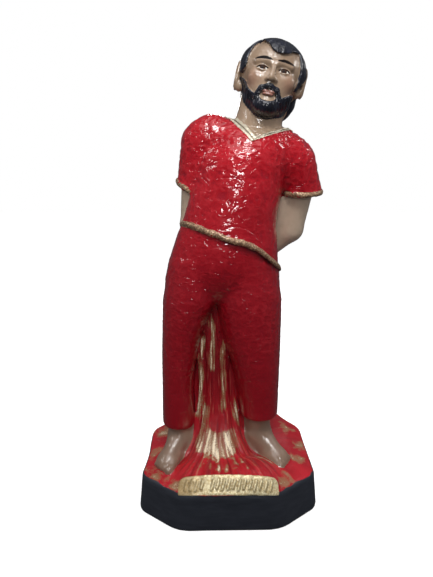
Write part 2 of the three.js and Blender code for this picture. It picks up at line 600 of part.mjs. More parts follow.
function thin({ points, faces }, target) {
  const places = Array.from({ length: points.length / 3 }, (_, v) => new THREE.Vector3().fromArray(points, v * 3));
  const around = places.map(() => new Set());
  const stamp = new Int32Array(places.length);
  const moments = places.map(() => new Float64Array(10));
  const normalOf = (p, q, r) => q.clone().sub(p).cross(r.clone().sub(p));

  const addPlane = (moment, { x, y, z }, w, weight) =>
    [x * x, x * y, x * z, x * w, y * y, y * z, y * w, z * z, z * w, w * w].forEach((term, i) => {
      moment[i] += term * weight;
    });
  faces.forEach((corners, f) => {
    const [p, q, r] = corners.map((v) => places[v]);
    const normal = normalOf(p, q, r);
    const care = 1 + (HEAD_CARE - 1) * smoothstep(p.z, 235, 258);
    const weight = (normal.length() / 2) * care;
    normal.normalize();
    for (const v of corners) {
      around[v].add(f);
      addPlane(moments[v], normal, -normal.dot(p), weight);
      const place = places[v].toArray();
      [[1, 0, 0], [0, 1, 0], [0, 0, 1]].forEach((axis, i) =>
        addPlane(moments[v], new THREE.Vector3(...axis), -place[i], weight * EVENNESS),
      );
    }
  });

  // The best place for two points to merge, and what it costs.
  const form = new THREE.Matrix3();
  const merge = (a, b) => {
    const [xx, xy, xz, xw, yy, yz, yw, zz, zw, ww] = moments[a].map((term, i) => term + moments[b][i]);
    const place = new THREE.Vector3(-xw, -yw, -zw).applyMatrix3(form.set(xx, xy, xz, xy, yy, yz, xz, yz, zz).invert());
    const { x, y, z } = place;
    const cost =
      x * (xx * x + 2 * (xy * y + xz * z + xw)) + y * (yy * y + 2 * (yz * z + yw)) + z * (zz * z + 2 * zw) + ww;
    return { place, cost: Math.max(cost, 0) };
  };
  const queue = new CheapestFirst();
  const offer = (a, b) => queue.push({ a, b, seen: stamp[a] + stamp[b], ...merge(a, b) });
  for (const [a, b, c] of faces)
    for (const [p, q] of [[a, b], [b, c], [c, a]]) if (p < q) offer(p, q);

  const neighbours = (v) => new Set([...around[v]].flatMap((f) => faces[f]).filter((n) => n !== v));
  const fullness = (p, q, r) =>
    normalOf(p, q, r).length() / (p.distanceToSquared(q) + q.distanceToSquared(r) + r.distanceToSquared(p));
  const staysSound = (moving, fixed, place) =>
    [...around[moving]].every((f) => {
      if (faces[f].includes(fixed)) return true;
      const before = faces[f].map((v) => places[v]);
      const after = faces[f].map((v) => (v === moving ? place : places[v]));
      const [from, to] = [normalOf(...before), normalOf(...after)];
      if (to.dot(from) < 0.35 * to.length() * from.length()) return false;
      const full = fullness(...after);
      return full > SLIVER || full > fullness(...before);
    });

  let left = faces.length;
  while (left > target && queue.offers.length > 1) {
    const { a, b, seen, place } = queue.pop();
    if (around[a].size === 0 || around[b].size === 0 || seen !== stamp[a] + stamp[b]) continue;
    const [byA, byB] = [neighbours(a), neighbours(b)];
    if (!byA.has(b) || [...byA].filter((v) => byB.has(v)).length !== 2) continue;
    if (!staysSound(a, b, place) || !staysSound(b, a, place)) continue;

    for (const f of [...around[b]]) {
      if (faces[f].includes(a)) {
        for (const v of faces[f]) around[v].delete(f);
        faces[f] = null;
        left -= 1;
      } else {
        faces[f] = faces[f].map((v) => (v === b ? a : v));
        around[a].add(f);
      }
    }
    around[b].clear();
    places[a] = place;
    moments[a] = moments[a].map((term, i) => term + moments[b][i]);
    stamp[a] += 1;
    for (const v of neighbours(a)) offer(a, v);
  }

  const kept = faces.filter(Boolean);
  const used = [...new Set(kept.flat())];
  const renumbered = new Map(used.map((v, i) => [v, i]));
  return {
    points: used.flatMap((v) => places[v].toArray()),
    faces: kept.map((corners) => corners.map((v) => renumbered.get(v))),
  };
}

const { points, faces } = thin(skin(casting), TRIANGLES);
const geometry = new THREE.BufferGeometry();
geometry.setAttribute("position", new THREE.Float32BufferAttribute(points, 3));
geometry.setIndex(faces.flat());
geometry.computeVertexNormals();

const paintedPlaster = new THREE.MeshStandardMaterial({ color: 0x8c1f2a, roughness: 0.3 });
const statue = new THREE.Mesh(geometry, paintedPlaster);
statue.name = "painted_plaster_statue";

const figure = new THREE.Group();
figure.name = "spirit_figure";
figure.add(statue);

export default figure;
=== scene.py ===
# A painted plaster figure of a bearded spirit in a red tunic and trousers, barefoot, with the hands held
# behind the back. It leans against a bark-ribbed stump on an eight-sided base with a gilt label. It is one
# casting, painted by hand with gloss enamels and bronze paint.
#
# The shape is a field: a function that gives the distance in millimetres from a point to the casting's skin,
# negative inside. The field is skinned once, the skin is cut along the edges of the paint, and each paint
# gets its material.
import itertools
import math

import bpy
import numpy as np
from mathutils import Euler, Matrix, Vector


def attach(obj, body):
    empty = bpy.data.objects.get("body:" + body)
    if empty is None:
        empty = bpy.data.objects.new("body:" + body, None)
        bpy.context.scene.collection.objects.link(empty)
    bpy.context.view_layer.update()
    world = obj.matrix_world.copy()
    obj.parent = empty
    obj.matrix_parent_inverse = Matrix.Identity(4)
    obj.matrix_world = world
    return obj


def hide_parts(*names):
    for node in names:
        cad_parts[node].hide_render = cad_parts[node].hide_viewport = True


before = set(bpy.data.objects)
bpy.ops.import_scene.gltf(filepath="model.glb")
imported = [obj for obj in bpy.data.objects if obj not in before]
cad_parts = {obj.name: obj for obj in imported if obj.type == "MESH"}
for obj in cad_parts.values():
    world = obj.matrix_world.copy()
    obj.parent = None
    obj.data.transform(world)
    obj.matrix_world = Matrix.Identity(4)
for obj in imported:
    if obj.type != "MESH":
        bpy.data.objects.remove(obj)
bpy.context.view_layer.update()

MM = 0.001

# Sizes in millimetres

BASE = dict(half_width=57.5, half_depth=50, front_half=30, side_half=29, band=25.5, edge=5)
BASE_WEAR = dict(draft=2.4, skew=0.022, dent=1.2)
MOUND = dict(rim=26.2, footing=2.6, label_rise=7.5, back_rise=3.6)
STUMP = dict(x=-8, y=8, flutes=16, flute_depth=0.75, sway=0.35)
LABEL = dict(half_length=31, half_height=5.7, arch=1.8, wrap=2.4, corner=4.5, depth=8)
LABEL_PLACE = (-0.5, -46.9, 30.6)
LABEL_LEAN = 35
STROKE = dict(length=6.4, radius=0.65, pitch=3.3, rise=0.6, lean=17, gap=-4, last=8)
HEM = dict(height=174, fall_right=0.458, fall_back=0.183, lift=3.3, lift_x=15, lift_width=13)
CORD = dict(radius=1.7, strand=1.2, turn=21, hem_radius=31)
SLEEVE = dict(trim=1.75, lip=0.5)
NECKLINE = dict(x=15.6, z=240.2, opening=1.83, lean=1, trim=2.6, rise=0.6, lip=0.8, groove=0.3)
NECK_HOLE = dict(x=20.6, y=3, z=247, lean=0.2, flare=0.6, radius=17.4)
HEAD_PLACE = (25.5, -1, 275)
HEAD_TURN = (-5, 12, -4)

TUNIC_FOOT, NECKLINE_FOOT, HEAD_FOOT = 138, 232, 240
FAR = 12  # well away from the skin


# Field tools. A point array has three rows: x, y and z.


def smoothstep(value, low, high):
    t = np.clip((value - low) / (high - low), 0, 1)
    return t * t * (3 - 2 * t)


def join(a, b, fillet):
    h = np.maximum(fillet - np.abs(a - b), 0) / fillet
    return np.minimum(a, b) - h * h * fillet / 4


def overlap(a, b, fillet):
    return -join(-a, -b, fillet)


def carve(a, b, fillet):
    return overlap(a, -b, fillet)


def join_all(fillet, *fields):
    def read(p):
        d = fields[0](p)
        for field in fields[1:]:
            d = join(d, field(p), fillet)
        return d

    return read


def boxed(low, high, field):
    """A field that is read only inside a box. Outside it, it is far away."""
    low, high = np.array(low, float)[:, None], np.array(high, float)[:, None]

    def read(p):
        away = np.maximum(low - p, p - high).max(axis=0)
        d = FAR + np.maximum(away, 0)
        near = away <= 0
        if near.any():
            d[near] = field(p[:, near])
        return d

    return read


def banded(low, high, field):
    return boxed((-99, -99, low), (99, 99, high), field)


def oval_distance(d, radii):
    radii = [np.asarray(r, float) for r in radii]
    reach = np.sqrt(sum((a / r) ** 2 for a, r in zip(d, radii)))
    slope = np.sqrt(sum((a / r**2) ** 2 for a, r in zip(d, radii)))
    return reach * (reach - 1) / np.maximum(slope, 1e-9)


def egg(centre, radii):
    return lambda p: oval_distance([p[i] - centre[i] for i in range(3)], radii)


def limb(start, end, start_radius, end_radius):
    start, line = np.array(start, float), np.array(end, float) - np.array(start, float)

    def read(p):
        d = p - start[:, None]
        along = np.clip(line @ d / (line @ line), 0, 1)
        away = np.sqrt(((d - line[:, None] * along) ** 2).sum(axis=0))
        return away - start_radius - (end_radius - start_radius) * along

    return read


def local(p, place, turn):
    """Points seen from a form that is set down at a place and turned by degrees round X, then Y, then Z."""
    matrix = np.array(Euler([math.radians(a) for a in turn]).to_matrix())
    return matrix.T @ (p - np.array(place, float)[:, None])


def placed(field, place, turn=(0, 0, 0)):
    return lambda p: field(local(p, place, turn))


def curve_through(at, sizes):
    """A smooth curve through sizes that are given at rising places."""
    at, sizes = np.array(at, float), np.array(sizes, float)
    last = len(at) - 1
    before, after = np.maximum(np.arange(last + 1) - 1, 0), np.minimum(np.arange(last + 1) + 1, last)
    slopes = (sizes[after] - sizes[before]) / (at[after] - at[before])

    def read(where):
        where = np.clip(where, at[0], at[-1])
        i = np.clip(np.searchsorted(at, where, side="right") - 1, 0, last - 1)
        gap = at[i + 1] - at[i]
        t = (where - at[i]) / gap
        ends = sizes[i] * (2 * t**3 - 3 * t**2 + 1) + sizes[i + 1] * (3 * t**2 - 2 * t**3)
        return ends + gap * (slopes[i] * (t**3 - 2 * t**2 + t) + slopes[i + 1] * (t**3 - t**2))

    return read


def column(stations, end_round):
    """An upright body of oval sections. A station gives the height, the middle x and y, the half width, and
    the half depth to the front and to the back."""
    heights, *sizes = zip(*stations)
    middle_x, middle_y, width, front, back = [curve_through(heights, s) for s in sizes]

    def read(p):
        x, y, z = p
        dy = y - middle_y(z)
        depth = np.where(dy < 0, front(z), back(z))
        side = oval_distance([x - middle_x(z), dy, 0 * z], [width(z), depth, 1 + 0 * z])
        return overlap(side, np.maximum(heights[0] - z, z - heights[-1]), end_round)

    return read


def noise(seed, tile=48):
    """Smooth value noise from -1 to 1. It repeats after a tile of cells."""
    table = np.random.default_rng(seed).uniform(-1, 1, (tile, tile, tile))

    def read(p, size):
        cell = np.floor(p / size).astype(int)
        t = p / size - cell
        t = t * t * (3 - 2 * t)
        total = 0
        for corner in np.ndindex(2, 2, 2):
            weight = np.prod([t[i] if corner[i] else 1 - t[i] for i in range(3)], axis=0)
            total = total + weight * table[tuple((cell[i] + corner[i]) % tile for i in range(3))]
        return total

    return read


lumps, creases, streaks = noise(3), noise(11), noise(29)


# Base, ground and stump


def outline(x, y, z):
    """Distance outside the eight-sided outline at a height, with the upright edges rounded."""
    run, depth = BASE["half_width"] - BASE["front_half"], BASE["half_depth"] - BASE["side_half"]
    across, along = depth / math.hypot(run, depth), run / math.hypot(run, depth)
    reach = across * BASE["front_half"] + along * BASE["half_depth"]
    dent = np.where(x < 0, BASE_WEAR["dent"] * np.exp(-(((y + 4) / 15) ** 2)), 0)
    spread = BASE_WEAR["draft"] * np.clip(1 - z / BASE["band"], 0, 1)
    u, v = np.abs(x), np.abs(y - BASE_WEAR["skew"] * x)
    walls = overlap(u - BASE["half_width"] - spread + dent, v - BASE["half_depth"], BASE["edge"])
    return overlap(walls, u * across + v * along - reach - spread * 0.6, BASE["edge"])


def ground_height(x, y):
    inside = np.maximum(-outline(x, y, BASE["band"]), 0)
    dx, dy = x - STUMP["x"], y - STUMP["y"]
    reach = np.hypot(dx, dy)
    behind_label = np.exp(-((np.abs(x) / 30) ** 5)) * smoothstep(-y, 8, 30) * np.clip(inside / 6, 0, 1)
    back = smoothstep(y, 12, 44) * (1 + 1.6 * np.exp(-(((x - 34) / 12) ** 2)))
    angle = np.arctan2(dy, dx)
    ribs = 0.6 * np.cos(3 * STUMP["flutes"] * angle + 0.12 * reach) * smoothstep(reach, 24, 34)
    footing = MOUND["footing"] * smoothstep(inside, 0, 14)
    slope_up = (MOUND["label_rise"] + ribs) * behind_label
    return MOUND["rim"] + footing + slope_up + MOUND["back_rise"] * back


def ground(p):
    x, y, z = p
    step = 0.5
    height = ground_height(x, y)
    slope = np.hypot(ground_height(x + step, y) - height, ground_height(x, y + step) - height) / step
    block = overlap(outline(x, y, z), (z - height) / np.hypot(1, slope), 2.5)
    return np.maximum(overlap(block, -z - 0.4, 3), -z)


stump = column(
    [
        (22, -6, 8, 50, 70, 60),
        (30, -6.5, 8, 28, 50, 37),
        (35, -7, 8, 23, 39, 30),
        (42, -7, 8, 20.4, 28, 25),
        (52, -7.2, 8, 19.2, 20.5, 22),
        (70, -8.5, 8, 17.6, 16, 20.5),
        (105, -9, 7.5, 16, 14, 20),
        (156, -6, 6, 15, 10, 18),
    ],
    4,
)


def bark_ribs(p):
    """Height of the bark's ribs. They sway, and finer grooves run between them."""
    x, y, z = p
    angle = np.arctan2(y - STUMP["y"], x - STUMP["x"])
    phase = STUMP["flutes"] * (angle + STUMP["sway"] * 0.25 * np.sin(z * 0.06))
    coarse = np.cos(phase) + 0.35 * np.cos(2.3 * phase + 1)
    fine = 0.45 * np.cos(3.7 * phase + 2.4 * streaks(p * [[1], [1], [0.25]], 9))
    return STUMP["flute_depth"] * (coarse + fine) * smoothstep(z, 24, 36)


def ribbed_stump(p):
    x, y, z = p
    ribbed = stump(p) - bark_ribs(p)
    return np.where(z < 50, overlap(ribbed, outline(x, y, z) + 1.5, 3), ribbed)


ribbed_stump_in_place = banded(14, 165, ribbed_stump)


def label_sides(u, w):
    """Distance outside the label's outline, seen square on."""
    upper = w - LABEL["half_height"] + LABEL["arch"] * (u / LABEL["half_length"]) ** 2
    ends = overlap(np.abs(u) - LABEL["half_length"], upper, LABEL["corner"])
    return np.maximum(ends, -w - LABEL["half_height"])


def label_face(u, v):
    return v - LABEL["wrap"] * (u / LABEL["half_length"]) ** 4


def label_plate(p):
    """The label leans back on the roots, with its foot on the rim and its ends wrapped round the corners."""
    u, v, w = p
    face = label_face(u, v)
    plate = overlap(label_sides(u, w), np.maximum(-face, v - LABEL["depth"]), 0.8)
    return join(plate, overlap(stroke_distance(u, w), -face - STROKE["rise"], 0.3), 0.4)


def stroke_distance(u, w):
    """Distance outside a row of strokes in two groups. They lean the same way and differ in length."""
    lean = math.radians(STROKE["lean"])
    number = np.round(u / STROKE["pitch"])
    bend = 0.6 * LABEL["arch"] * (u / LABEL["half_length"]) ** 2
    du, dw = u - number * STROKE["pitch"], w - 0.2 + bend - 0.3 * np.sin(number * 2.4)
    half = STROKE["length"] / 2 + 0.3 * np.sin(number * 4.1) - STROKE["radius"]
    along = np.clip(du * math.sin(lean) + dw * math.cos(lean), -half, half)
    away = np.hypot(du - along * math.sin(lean), dw - along * math.cos(lean)) - STROKE["radius"]
    return np.where((number == STROKE["gap"]) | (np.abs(number) > STROKE["last"]), STROKE["pitch"], away)


label = boxed((-40, -60, 18), (40, -30, 46), placed(label_plate, LABEL_PLACE, (-LABEL_LEAN, 0, 0)))


def stroke_edges(p):
    """1 along the foot of a raised stroke, 0 away from it."""
    u, v, w = local(p, LABEL_PLACE, (-LABEL_LEAN, 0, 0))
    away = stroke_distance(u, w)
    near = (np.abs(label_face(u, v)) < 3) & (label_sides(u, w) < 0)
    return near * np.exp(-(((away - 0.3) / 0.5) ** 2))


# Trousers and feet

hips = column(
    [
        (136, -5, 0.5, 32, 13, 16),
        (150, -4.2, 0.5, 37.4, 21, 24),
        (163, -3.4, 0, 36, 24, 25),
        (181, -1.2, -0.5, 32.4, 23.5, 21),
        (198, 1, 0, 28, 21, 18),
    ],
    8,
)
left_leg = column(
    [
        (49.5, -35, 0, 11, 15.5, 15.5),
        (63, -34.6, 0, 11.2, 16, 17),
        (79, -34.6, 0, 11, 16.5, 18),
        (95, -33.6, 0, 11.9, 17.5, 18.5),
        (111, -31.8, 0, 13.2, 19, 19),
        (127, -28.6, 0, 15.8, 21, 20),
        (140, -25, 0, 18.6, 22, 21),
        (165, -21, 0, 17, 20, 20),
    ],
    2.4,
)
right_leg = column(
    [
        (56, 21.6, 1, 13.6, 17.5, 16.5),
        (63, 21.4, 1, 13.8, 17.5, 17),
        (79, 20.3, 0.5, 15, 18.5, 18),
        (95, 18.5, 0, 17, 19.5, 19),
        (111, 16, 0, 19.6, 20.8, 20),
        (127, 14.3, 0, 21.4, 21.8, 20.5),
        (140, 13.4, 0, 22, 22.2, 21),
        (165, 13, 0, 17, 20, 20),
    ],
    2.4,
)
trousers = banded(36, 210, join_all(3, hips, left_leg, right_leg))
ankle_webs = banded(
    20,
    76,
    join_all(1, limb((13, 5, 34), (12, 6, 60), 6, 5), limb((-26, 10, 34), (-26, 10, 58), 5, 5)),
)


def foot(inner, length, ankle_height):
    """A bare foot and ankle. It points to -Y, and inner is the side of its big toe."""
    toes, nails = [], []
    for n in range(5):
        across = inner * (5.2 - n * 2.7 + (0.5 if n == 0 else 0))
        tip = 3 - length + 0.35 * n * n**0.6
        radius = 2.5 if n == 0 else 1.75 - 0.08 * n
        toes.append(limb((across * 0.92, tip + 8, 3.6), (across, tip, 1.5), radius + 0.5, radius))
        nail_place = (across, tip - radius * 0.35, 1.5 + radius * 0.82)
        nails.append(egg(nail_place, (radius * 0.6, radius * 0.66, 0.5)))
    instep = join_all(
        4,
        limb((0, 2, 0), (0, 16 - length, 0), 6.5, 6),
        egg((0, 3, 5), (9, 9.5, 8)),
        limb((0, -2, 11), (0, 13 - length, 4), 8.4, 5.2),
        limb((0, 1, 8), (0, 0, ankle_height), 8.6, 8.8),
    )
    ball = egg((0, 14 - length, 3), (7.8, 10.5, 4.8))
    ankles = join_all(1, *[egg((side * 7.6, 1, 13), (2.2, 3, 3.2)) for side in (-1, 1)])
    toed = join_all(0.7, *toes)

    def read(p):
        top = join(join(instep(p), ball(p), 3), ankles(p), 2.5)
        return join(join(top, toed(p), 1.6), join_all(0.1, *nails)(p), 0.25)

    return read


left_foot = placed(foot(1, 31, 26), (-33, -3, 28.4), (0, 0, -24))
right_foot = placed(foot(-1, 30, 38), (21.8, -1, 28.4), (0, 0, 40))
feet = boxed((-64, -56, 12), (64, 30, 76), join_all(1, left_foot, right_foot))

# Tunic, with its hem cord, sleeves and neckline

torso = column(
    [
        (150, 0, 0, 33.4, 26.6, 25.4),
        (170, -0.2, 0, 32.4, 26.2, 24.4),
        (190, 0.6, 0, 30.2, 25, 21.6),
        (212, 5.8, 0.5, 29, 24, 21),
        (229, 10, 1, 29, 23, 21.4),
        (241, 13.5, 2, 25.6, 19, 19),
        (251, 16.5, 2.5, 16.6, 12.5, 15),
    ],
    7,
)


def hem_plane(p):
    x, y, z = p
    lift = HEM["lift"] * np.exp(-(((x - HEM["lift_x"]) / HEM["lift_width"]) ** 2))
    fall = HEM["fall_right"] * x + HEM["fall_back"] * y
    return (HEM["height"] + lift - fall - z) / math.hypot(1, HEM["fall_right"], HEM["fall_back"])


def hem_cord(p):
    """Two strands twisted round each other along the hem."""
    along = np.arctan2(p[1], p[0]) * CORD["hem_radius"]
    turn = 2 * math.pi * along / CORD["turn"] + 2.2 * lumps(p, 12)
    out, down = torso(p) - 0.3 + 0.2 * creases(p, 5), hem_plane(p) + 0.35 * lumps(p, 9)
    reach = CORD["radius"] + 0.1 - CORD["strand"]
    strands = []
    for start in (0, math.pi):
        strand = np.hypot(out - reach * np.cos(turn + start), down - reach * np.sin(turn + start))
        strands.append(strand - CORD["strand"])
    return join(np.minimum(*strands), np.hypot(out, down) - CORD["radius"] * 0.85, 0.5)


def sleeve(shoulder, end, shoulder_radius, end_radius, cuff):
    sock = limb(shoulder, end, shoulder_radius, end_radius)
    down = np.array(cuff, float) / np.linalg.norm(cuff)

    def past(p):
        return down @ (p - np.array(end, float)[:, None])

    def roll(p):
        return np.hypot(sock(p) + SLEEVE["lip"], past(p)) - SLEEVE["trim"]

    def cloth(p):
        return overlap(sock(p), past(p), 1)

    return cloth, roll


left_sleeve, left_trim = sleeve((-16.8, 4.5, 239), (-21, 9, 209.8), 13.7, 13.3, (-0.48, 0.22, -1))
right_sleeve, right_trim = sleeve((41.8, 4.5, 227), (48, 9, 209.2), 14, 13.2, (0, 0.22, -1))
shoulders = join_all(
    3,
    limb((-4, 3, 240.4), (-10.5, 4, 243.6), 13, 13),
    limb((29, 3, 235.5), (36, 4.5, 232.6), 12.4, 13.6),
)


def neck_opening(p):
    """The neckline is a leaning V in front and runs round the neck behind. Negative inside the opening."""
    x, y, z = p
    rise = z - NECKLINE["z"]
    along = np.abs(x - NECKLINE["x"] - NECKLINE["lean"] * rise)
    vee = (along - NECKLINE["opening"] * rise) / math.hypot(1, NECKLINE["opening"])
    vee = vee - 30 * smoothstep(y, -2, 10)
    up = z - NECK_HOLE["z"]
    away = np.hypot(x - NECK_HOLE["x"] - NECK_HOLE["lean"] * up, np.maximum(y - NECK_HOLE["y"], 0))
    hole = (away - NECK_HOLE["radius"] - NECK_HOLE["flare"] * up) / math.hypot(1, NECK_HOLE["flare"])
    return overlap(vee, hole, 3)


bodice = join_all(4.5, torso, shoulders, left_sleeve, right_sleeve)


def sleeve_trims(p):
    return np.minimum(left_trim(p), right_trim(p))


def tunic_cloth(p):
    body = bodice(p)
    cloth = overlap(body, hem_plane(p), 0.8)
    opening = neck_opening(p)
    body_only = join(torso(p), shoulders(p), 6)
    open_cloth = carve(cloth, np.maximum(opening, -NECKLINE["lip"] - body_only), 0.6)
    half = NECKLINE["trim"] / 2
    across = np.abs(opening - half)
    raised = NECKLINE["rise"] - NECKLINE["groove"] * 2 * np.exp(-((across / 0.35) ** 2))
    trim = overlap(body_only - raised, across - half, 0.5)
    nicked = sleeve_trims(p) - 0.12 * lumps(p, 1.6)
    return join(join(join(open_cloth, hem_cord(p), 0.5), trim, 0.4), nicked, 0.5)


tunic = banded(TUNIC_FOOT, 270, tunic_cloth)

# Arms and hands, drawn back behind the figure


def hand(inner):
    fingers = []
    for n in range(4):
        knuckle = (inner * 5, 1.5, 4.9 - n * 3.3)
        middle = (inner * 9.6, 1.2 - 0.2 * n, 4.6 - n * 3.3)
        tip = (inner * (12.6 - 0.4 * abs(n - 1)), -1.5, 4.0 - n * 3.3)
        fingers += [limb(knuckle, middle, 1.95, 1.75), limb(middle, tip, 1.7, 1.45)]
    palm = egg((inner * 1.5, 0.5, 0), (7, 3.8, 7))
    bend = (inner * 4, 2, 8.4)
    thumb = join_all(0.8, limb((0, 0.5, 6), bend, 2.3, 1.9), limb(bend, (inner * 7.4, 2.2, 8.6), 1.8, 1.5))
    closed = join_all(0.5, *fingers)
    return lambda p: join(join(palm(p), closed(p), 1.2), thumb(p), 1)


arms = banded(
    TUNIC_FOOT,
    232,
    join_all(
        2.5,
        limb((-22, 9.5, 216), (-24.3, 17, 187), 9, 8.6),
        limb((-24.3, 17, 187), (-4, 29.5, 170), 8.4, 6.2),
        limb((46.6, 9.5, 212), (42.3, 17.5, 184.5), 10, 9.6),
        limb((42.3, 17.5, 184.5), (17.5, 29.5, 160.5), 9.3, 6.6),
        limb((36, 11, 206), (32, 19, 182), 8.6, 8.6),
        limb((-14, 12, 206), (-14, 20, 182), 8, 8),
        boxed((-24, 14, 140), (34, 52, 190), placed(hand(1), (2, 31.5, 166), (0, 34, 8))),
        boxed((-24, 14, 140), (34, 52, 190), placed(hand(-1), (9.5, 34.5, 158.5), (0, -22, -8))),
    ),
)
# The plaster fills the space between the wrists and the back.
wrist_web = banded(TUNIC_FOOT, 232, limb((0, 24, 170), (16, 24, 160), 7.5, 7.5))

# Neck and head. The head is made upright about its own middle, facing -Y, and is then set down tilted.

neck = banded(
    226,
    276,
    join_all(
        4,
        limb((16.8, 2.5, 238), (20.6, 1.5, 263), 15.4, 13.8),
        limb((2, 3, 240), (9, 2.5, 249), 8, 6),
    ),
)
EAR_RISE, EAR_SHIFT = 2.5, -0.7  # the ear at +X sits higher, and both sit a little to -X


def both_sides(make):
    left, right = make(-1), make(1)
    return lambda p: np.minimum(left(p), right(p))


def ear(side):
    rim = egg((side * 20.2, 2.5, 0.2), (2.3, 4.8, 9))
    lobe = egg((side * 17.8, 1, -6.2), (2.4, 2.8, 3.4))
    shell = join_all(1, rim, lobe)
    bowl = egg((side * 22.9, 1.8, -0.2), (2, 2.9, 5.8))
    ridge = limb((side * 21.4, 2.6, 4.4), (side * 21.3, 3, -1.8), 0.55, 0.5)

    def hollowed(p):
        return join(carve(shell(p), bowl(p), 0.8), ridge(p), 0.8)

    return placed(hollowed, (EAR_SHIFT, 0, EAR_RISE if side > 0 else 0))


both_ears = both_sides(ear)
face = join_all(
    3,
    egg((-0.6, 2.6, 5), (19.3, 20.2, 17.2)),
    egg((0.2, 9.5, -8), (16, 12, 13.6)),
    egg((0, -4.2, -7.5), (13.8, 14.6, 15.4)),
    egg((0, -13.2, -19), (6.4, 5.6, 4.6)),
    egg((-8.6, -12, -3.6), (5.4, 4.6, 4.6)),
    egg((8.6, -12, -3.6), (5.4, 4.6, 4.6)),
)
brow = both_sides(lambda side: limb((side * 10, -14.6, 4.4), (side * 2, -17.2, 4), 1.8, 1.7))
nose = join_all(
    1.2,
    limb((0, -17, 4.4), (0, -20.6, -3.4), 1.3, 1.6),
    egg((0, -20.8, -5.2), (2.1, 2, 1.9)),
    egg((-2.4, -18.9, -5.7), (1.4, 1.9, 1.4)),
    egg((2.4, -18.9, -5.7), (1.4, 1.9, 1.4)),
)
nostrils = both_sides(lambda side: egg((side * 1.5, -20, -7.2), (0.75, 1, 0.9)))
eye_socket = both_sides(lambda side: egg((side * 6.4, -20, 0.6), (4.2, 3.6, 3)))
EYE = dict(x=6.3, y=-13.8, z=0.6, width=3.5, depth=3.2, height=2.6)


def between_lids(p):
    """How far a point is outside the almond that the lids leave open."""
    across = (np.abs(p[0]) - EYE["x"]) / (EYE["width"] - 0.1)
    arch = np.maximum(1 - across**2, -1)
    height = p[2] - EYE["z"]
    return np.maximum(height - 1.2 * arch, -height - 0.85 * arch)


def eyeballs(p, swell=0):
    radii = (EYE["width"] + swell, EYE["depth"] + swell, EYE["height"] + swell)
    return oval_distance([np.abs(p[0]) - EYE["x"], p[1] - EYE["y"], p[2] - EYE["z"]], radii)


def lids(p):
    return overlap(eyeballs(p, 0.5), 0.1 - between_lids(p), 0.25)


mouth = join_all(
    0.4,
    egg((-1.6, -17.7, -12.1), (2.6, 1.5, 0.85)),
    egg((1.6, -17.7, -12.1), (2.6, 1.5, 0.85)),
    egg((0, -17.6, -13.6), (3.4, 1.7, 1)),
)
mouth_line = join_all(
    0.2,
    limb((-4, -18.6, -13.1), (0, -19.3, -12.7), 0.2, 0.24),
    limb((0, -19.3, -12.7), (4, -18.6, -13.1), 0.24, 0.2),
)


def moustache(p):
    """Two drooping halves, with hairs combed outwards."""
    sides = []
    for side in (-1, 1):
        inner = limb((side * 0.7, -19.2, -9.3), (side * 4.6, -17.7, -10.9), 1.5, 1.5)
        outer = limb((side * 4.6, -17.7, -10.9), (side * 7.6, -15, -15.6), 1.5, 1.5)
        sides.append(join(inner(p), outer(p), 1))
    hairs = 0.16 * np.cos(2 * math.pi * (p[2] + 0.45 * np.abs(p[0])) / 0.95)
    return np.minimum(*sides) - hairs


# Hair and beard. Their edges are heights on the head by the angle round it: 0 is the front, 90 the right.

NAPE_TO_LEFT_EAR = ([-180, -128, -112, -105, -88, -78, -73], [-21, -20, -9, 8, 11.5, 8, 0.3])
LEFT_TEMPLE = ([-64, -56, -52.5, -50, -47, -38], [0, 1.2, 4, 17, 19.4, 18.7])
FRINGE = (
    [-28, -17, -10, -4, 2, 11, 21, 30, 44, 52],
    [16.9, 14.7, 11.9, 10.5, 9.7, 9.9, 11.2, 13.1, 14.5, 14],
)
RIGHT_SIDEBURN = ([55, 57, 68, 74, 80], [4, -4.5, -4.5, -1, 5])
RIGHT_EAR_TO_NAPE = ([92, 97, 104, 110, 118, 180], [6, -9, -14, -18, -20, -21])
HAIR_EDGES = (NAPE_TO_LEFT_EAR, LEFT_TEMPLE, FRINGE, RIGHT_SIDEBURN, RIGHT_EAR_TO_NAPE)
HAIRLINE = curve_through(*[sum(row, []) for row in zip(*HAIR_EDGES)])
BEARDLINE = curve_through(
    [-100, -88, -76, -56, -40, -20, 0, 20, 40, 56, 76, 88, 100],
    [-6, -3, -2, -6, -10.5, -14, -14, -14, -10.5, -8, -8.5, -9, -12],
)
HAIR = dict(lift=1.7, beard=1.1, groove=0.16)


def round_head(p):
    return np.degrees(np.arctan2(p[0], -(p[1] - 2)))


def above(p, line):
    """How far a point is under a line that runs round the head. Negative above the line."""
    angle, step = round_head(p), 2.0
    height = line(angle)
    slope = (line(angle + step) - line(angle - step)) / (2 * math.radians(step) * 17)
    return (height - p[2]) / np.hypot(1, slope)


def hair_area(p):
    return above(p, HAIRLINE)


def beard_area(p):
    behind = (np.abs(round_head(p)) - 100) * 0.3
    bare_mouth = egg((0, -19, -13.4), (5.6, 6, 4.2))(p)
    return np.maximum(np.maximum(-above(p, BEARDLINE), behind), -bare_mouth)


def combed(p, size):
    """Grooves that follow the fall of the hair from the crown."""
    angle = np.arctan2(p[0] - 4, p[1] + 4)
    return np.cos(angle * size + 2.2 * streaks(p, 7)) + 0.5 * np.cos(angle * size * 2.1 + 3 * streaks(p, 4))


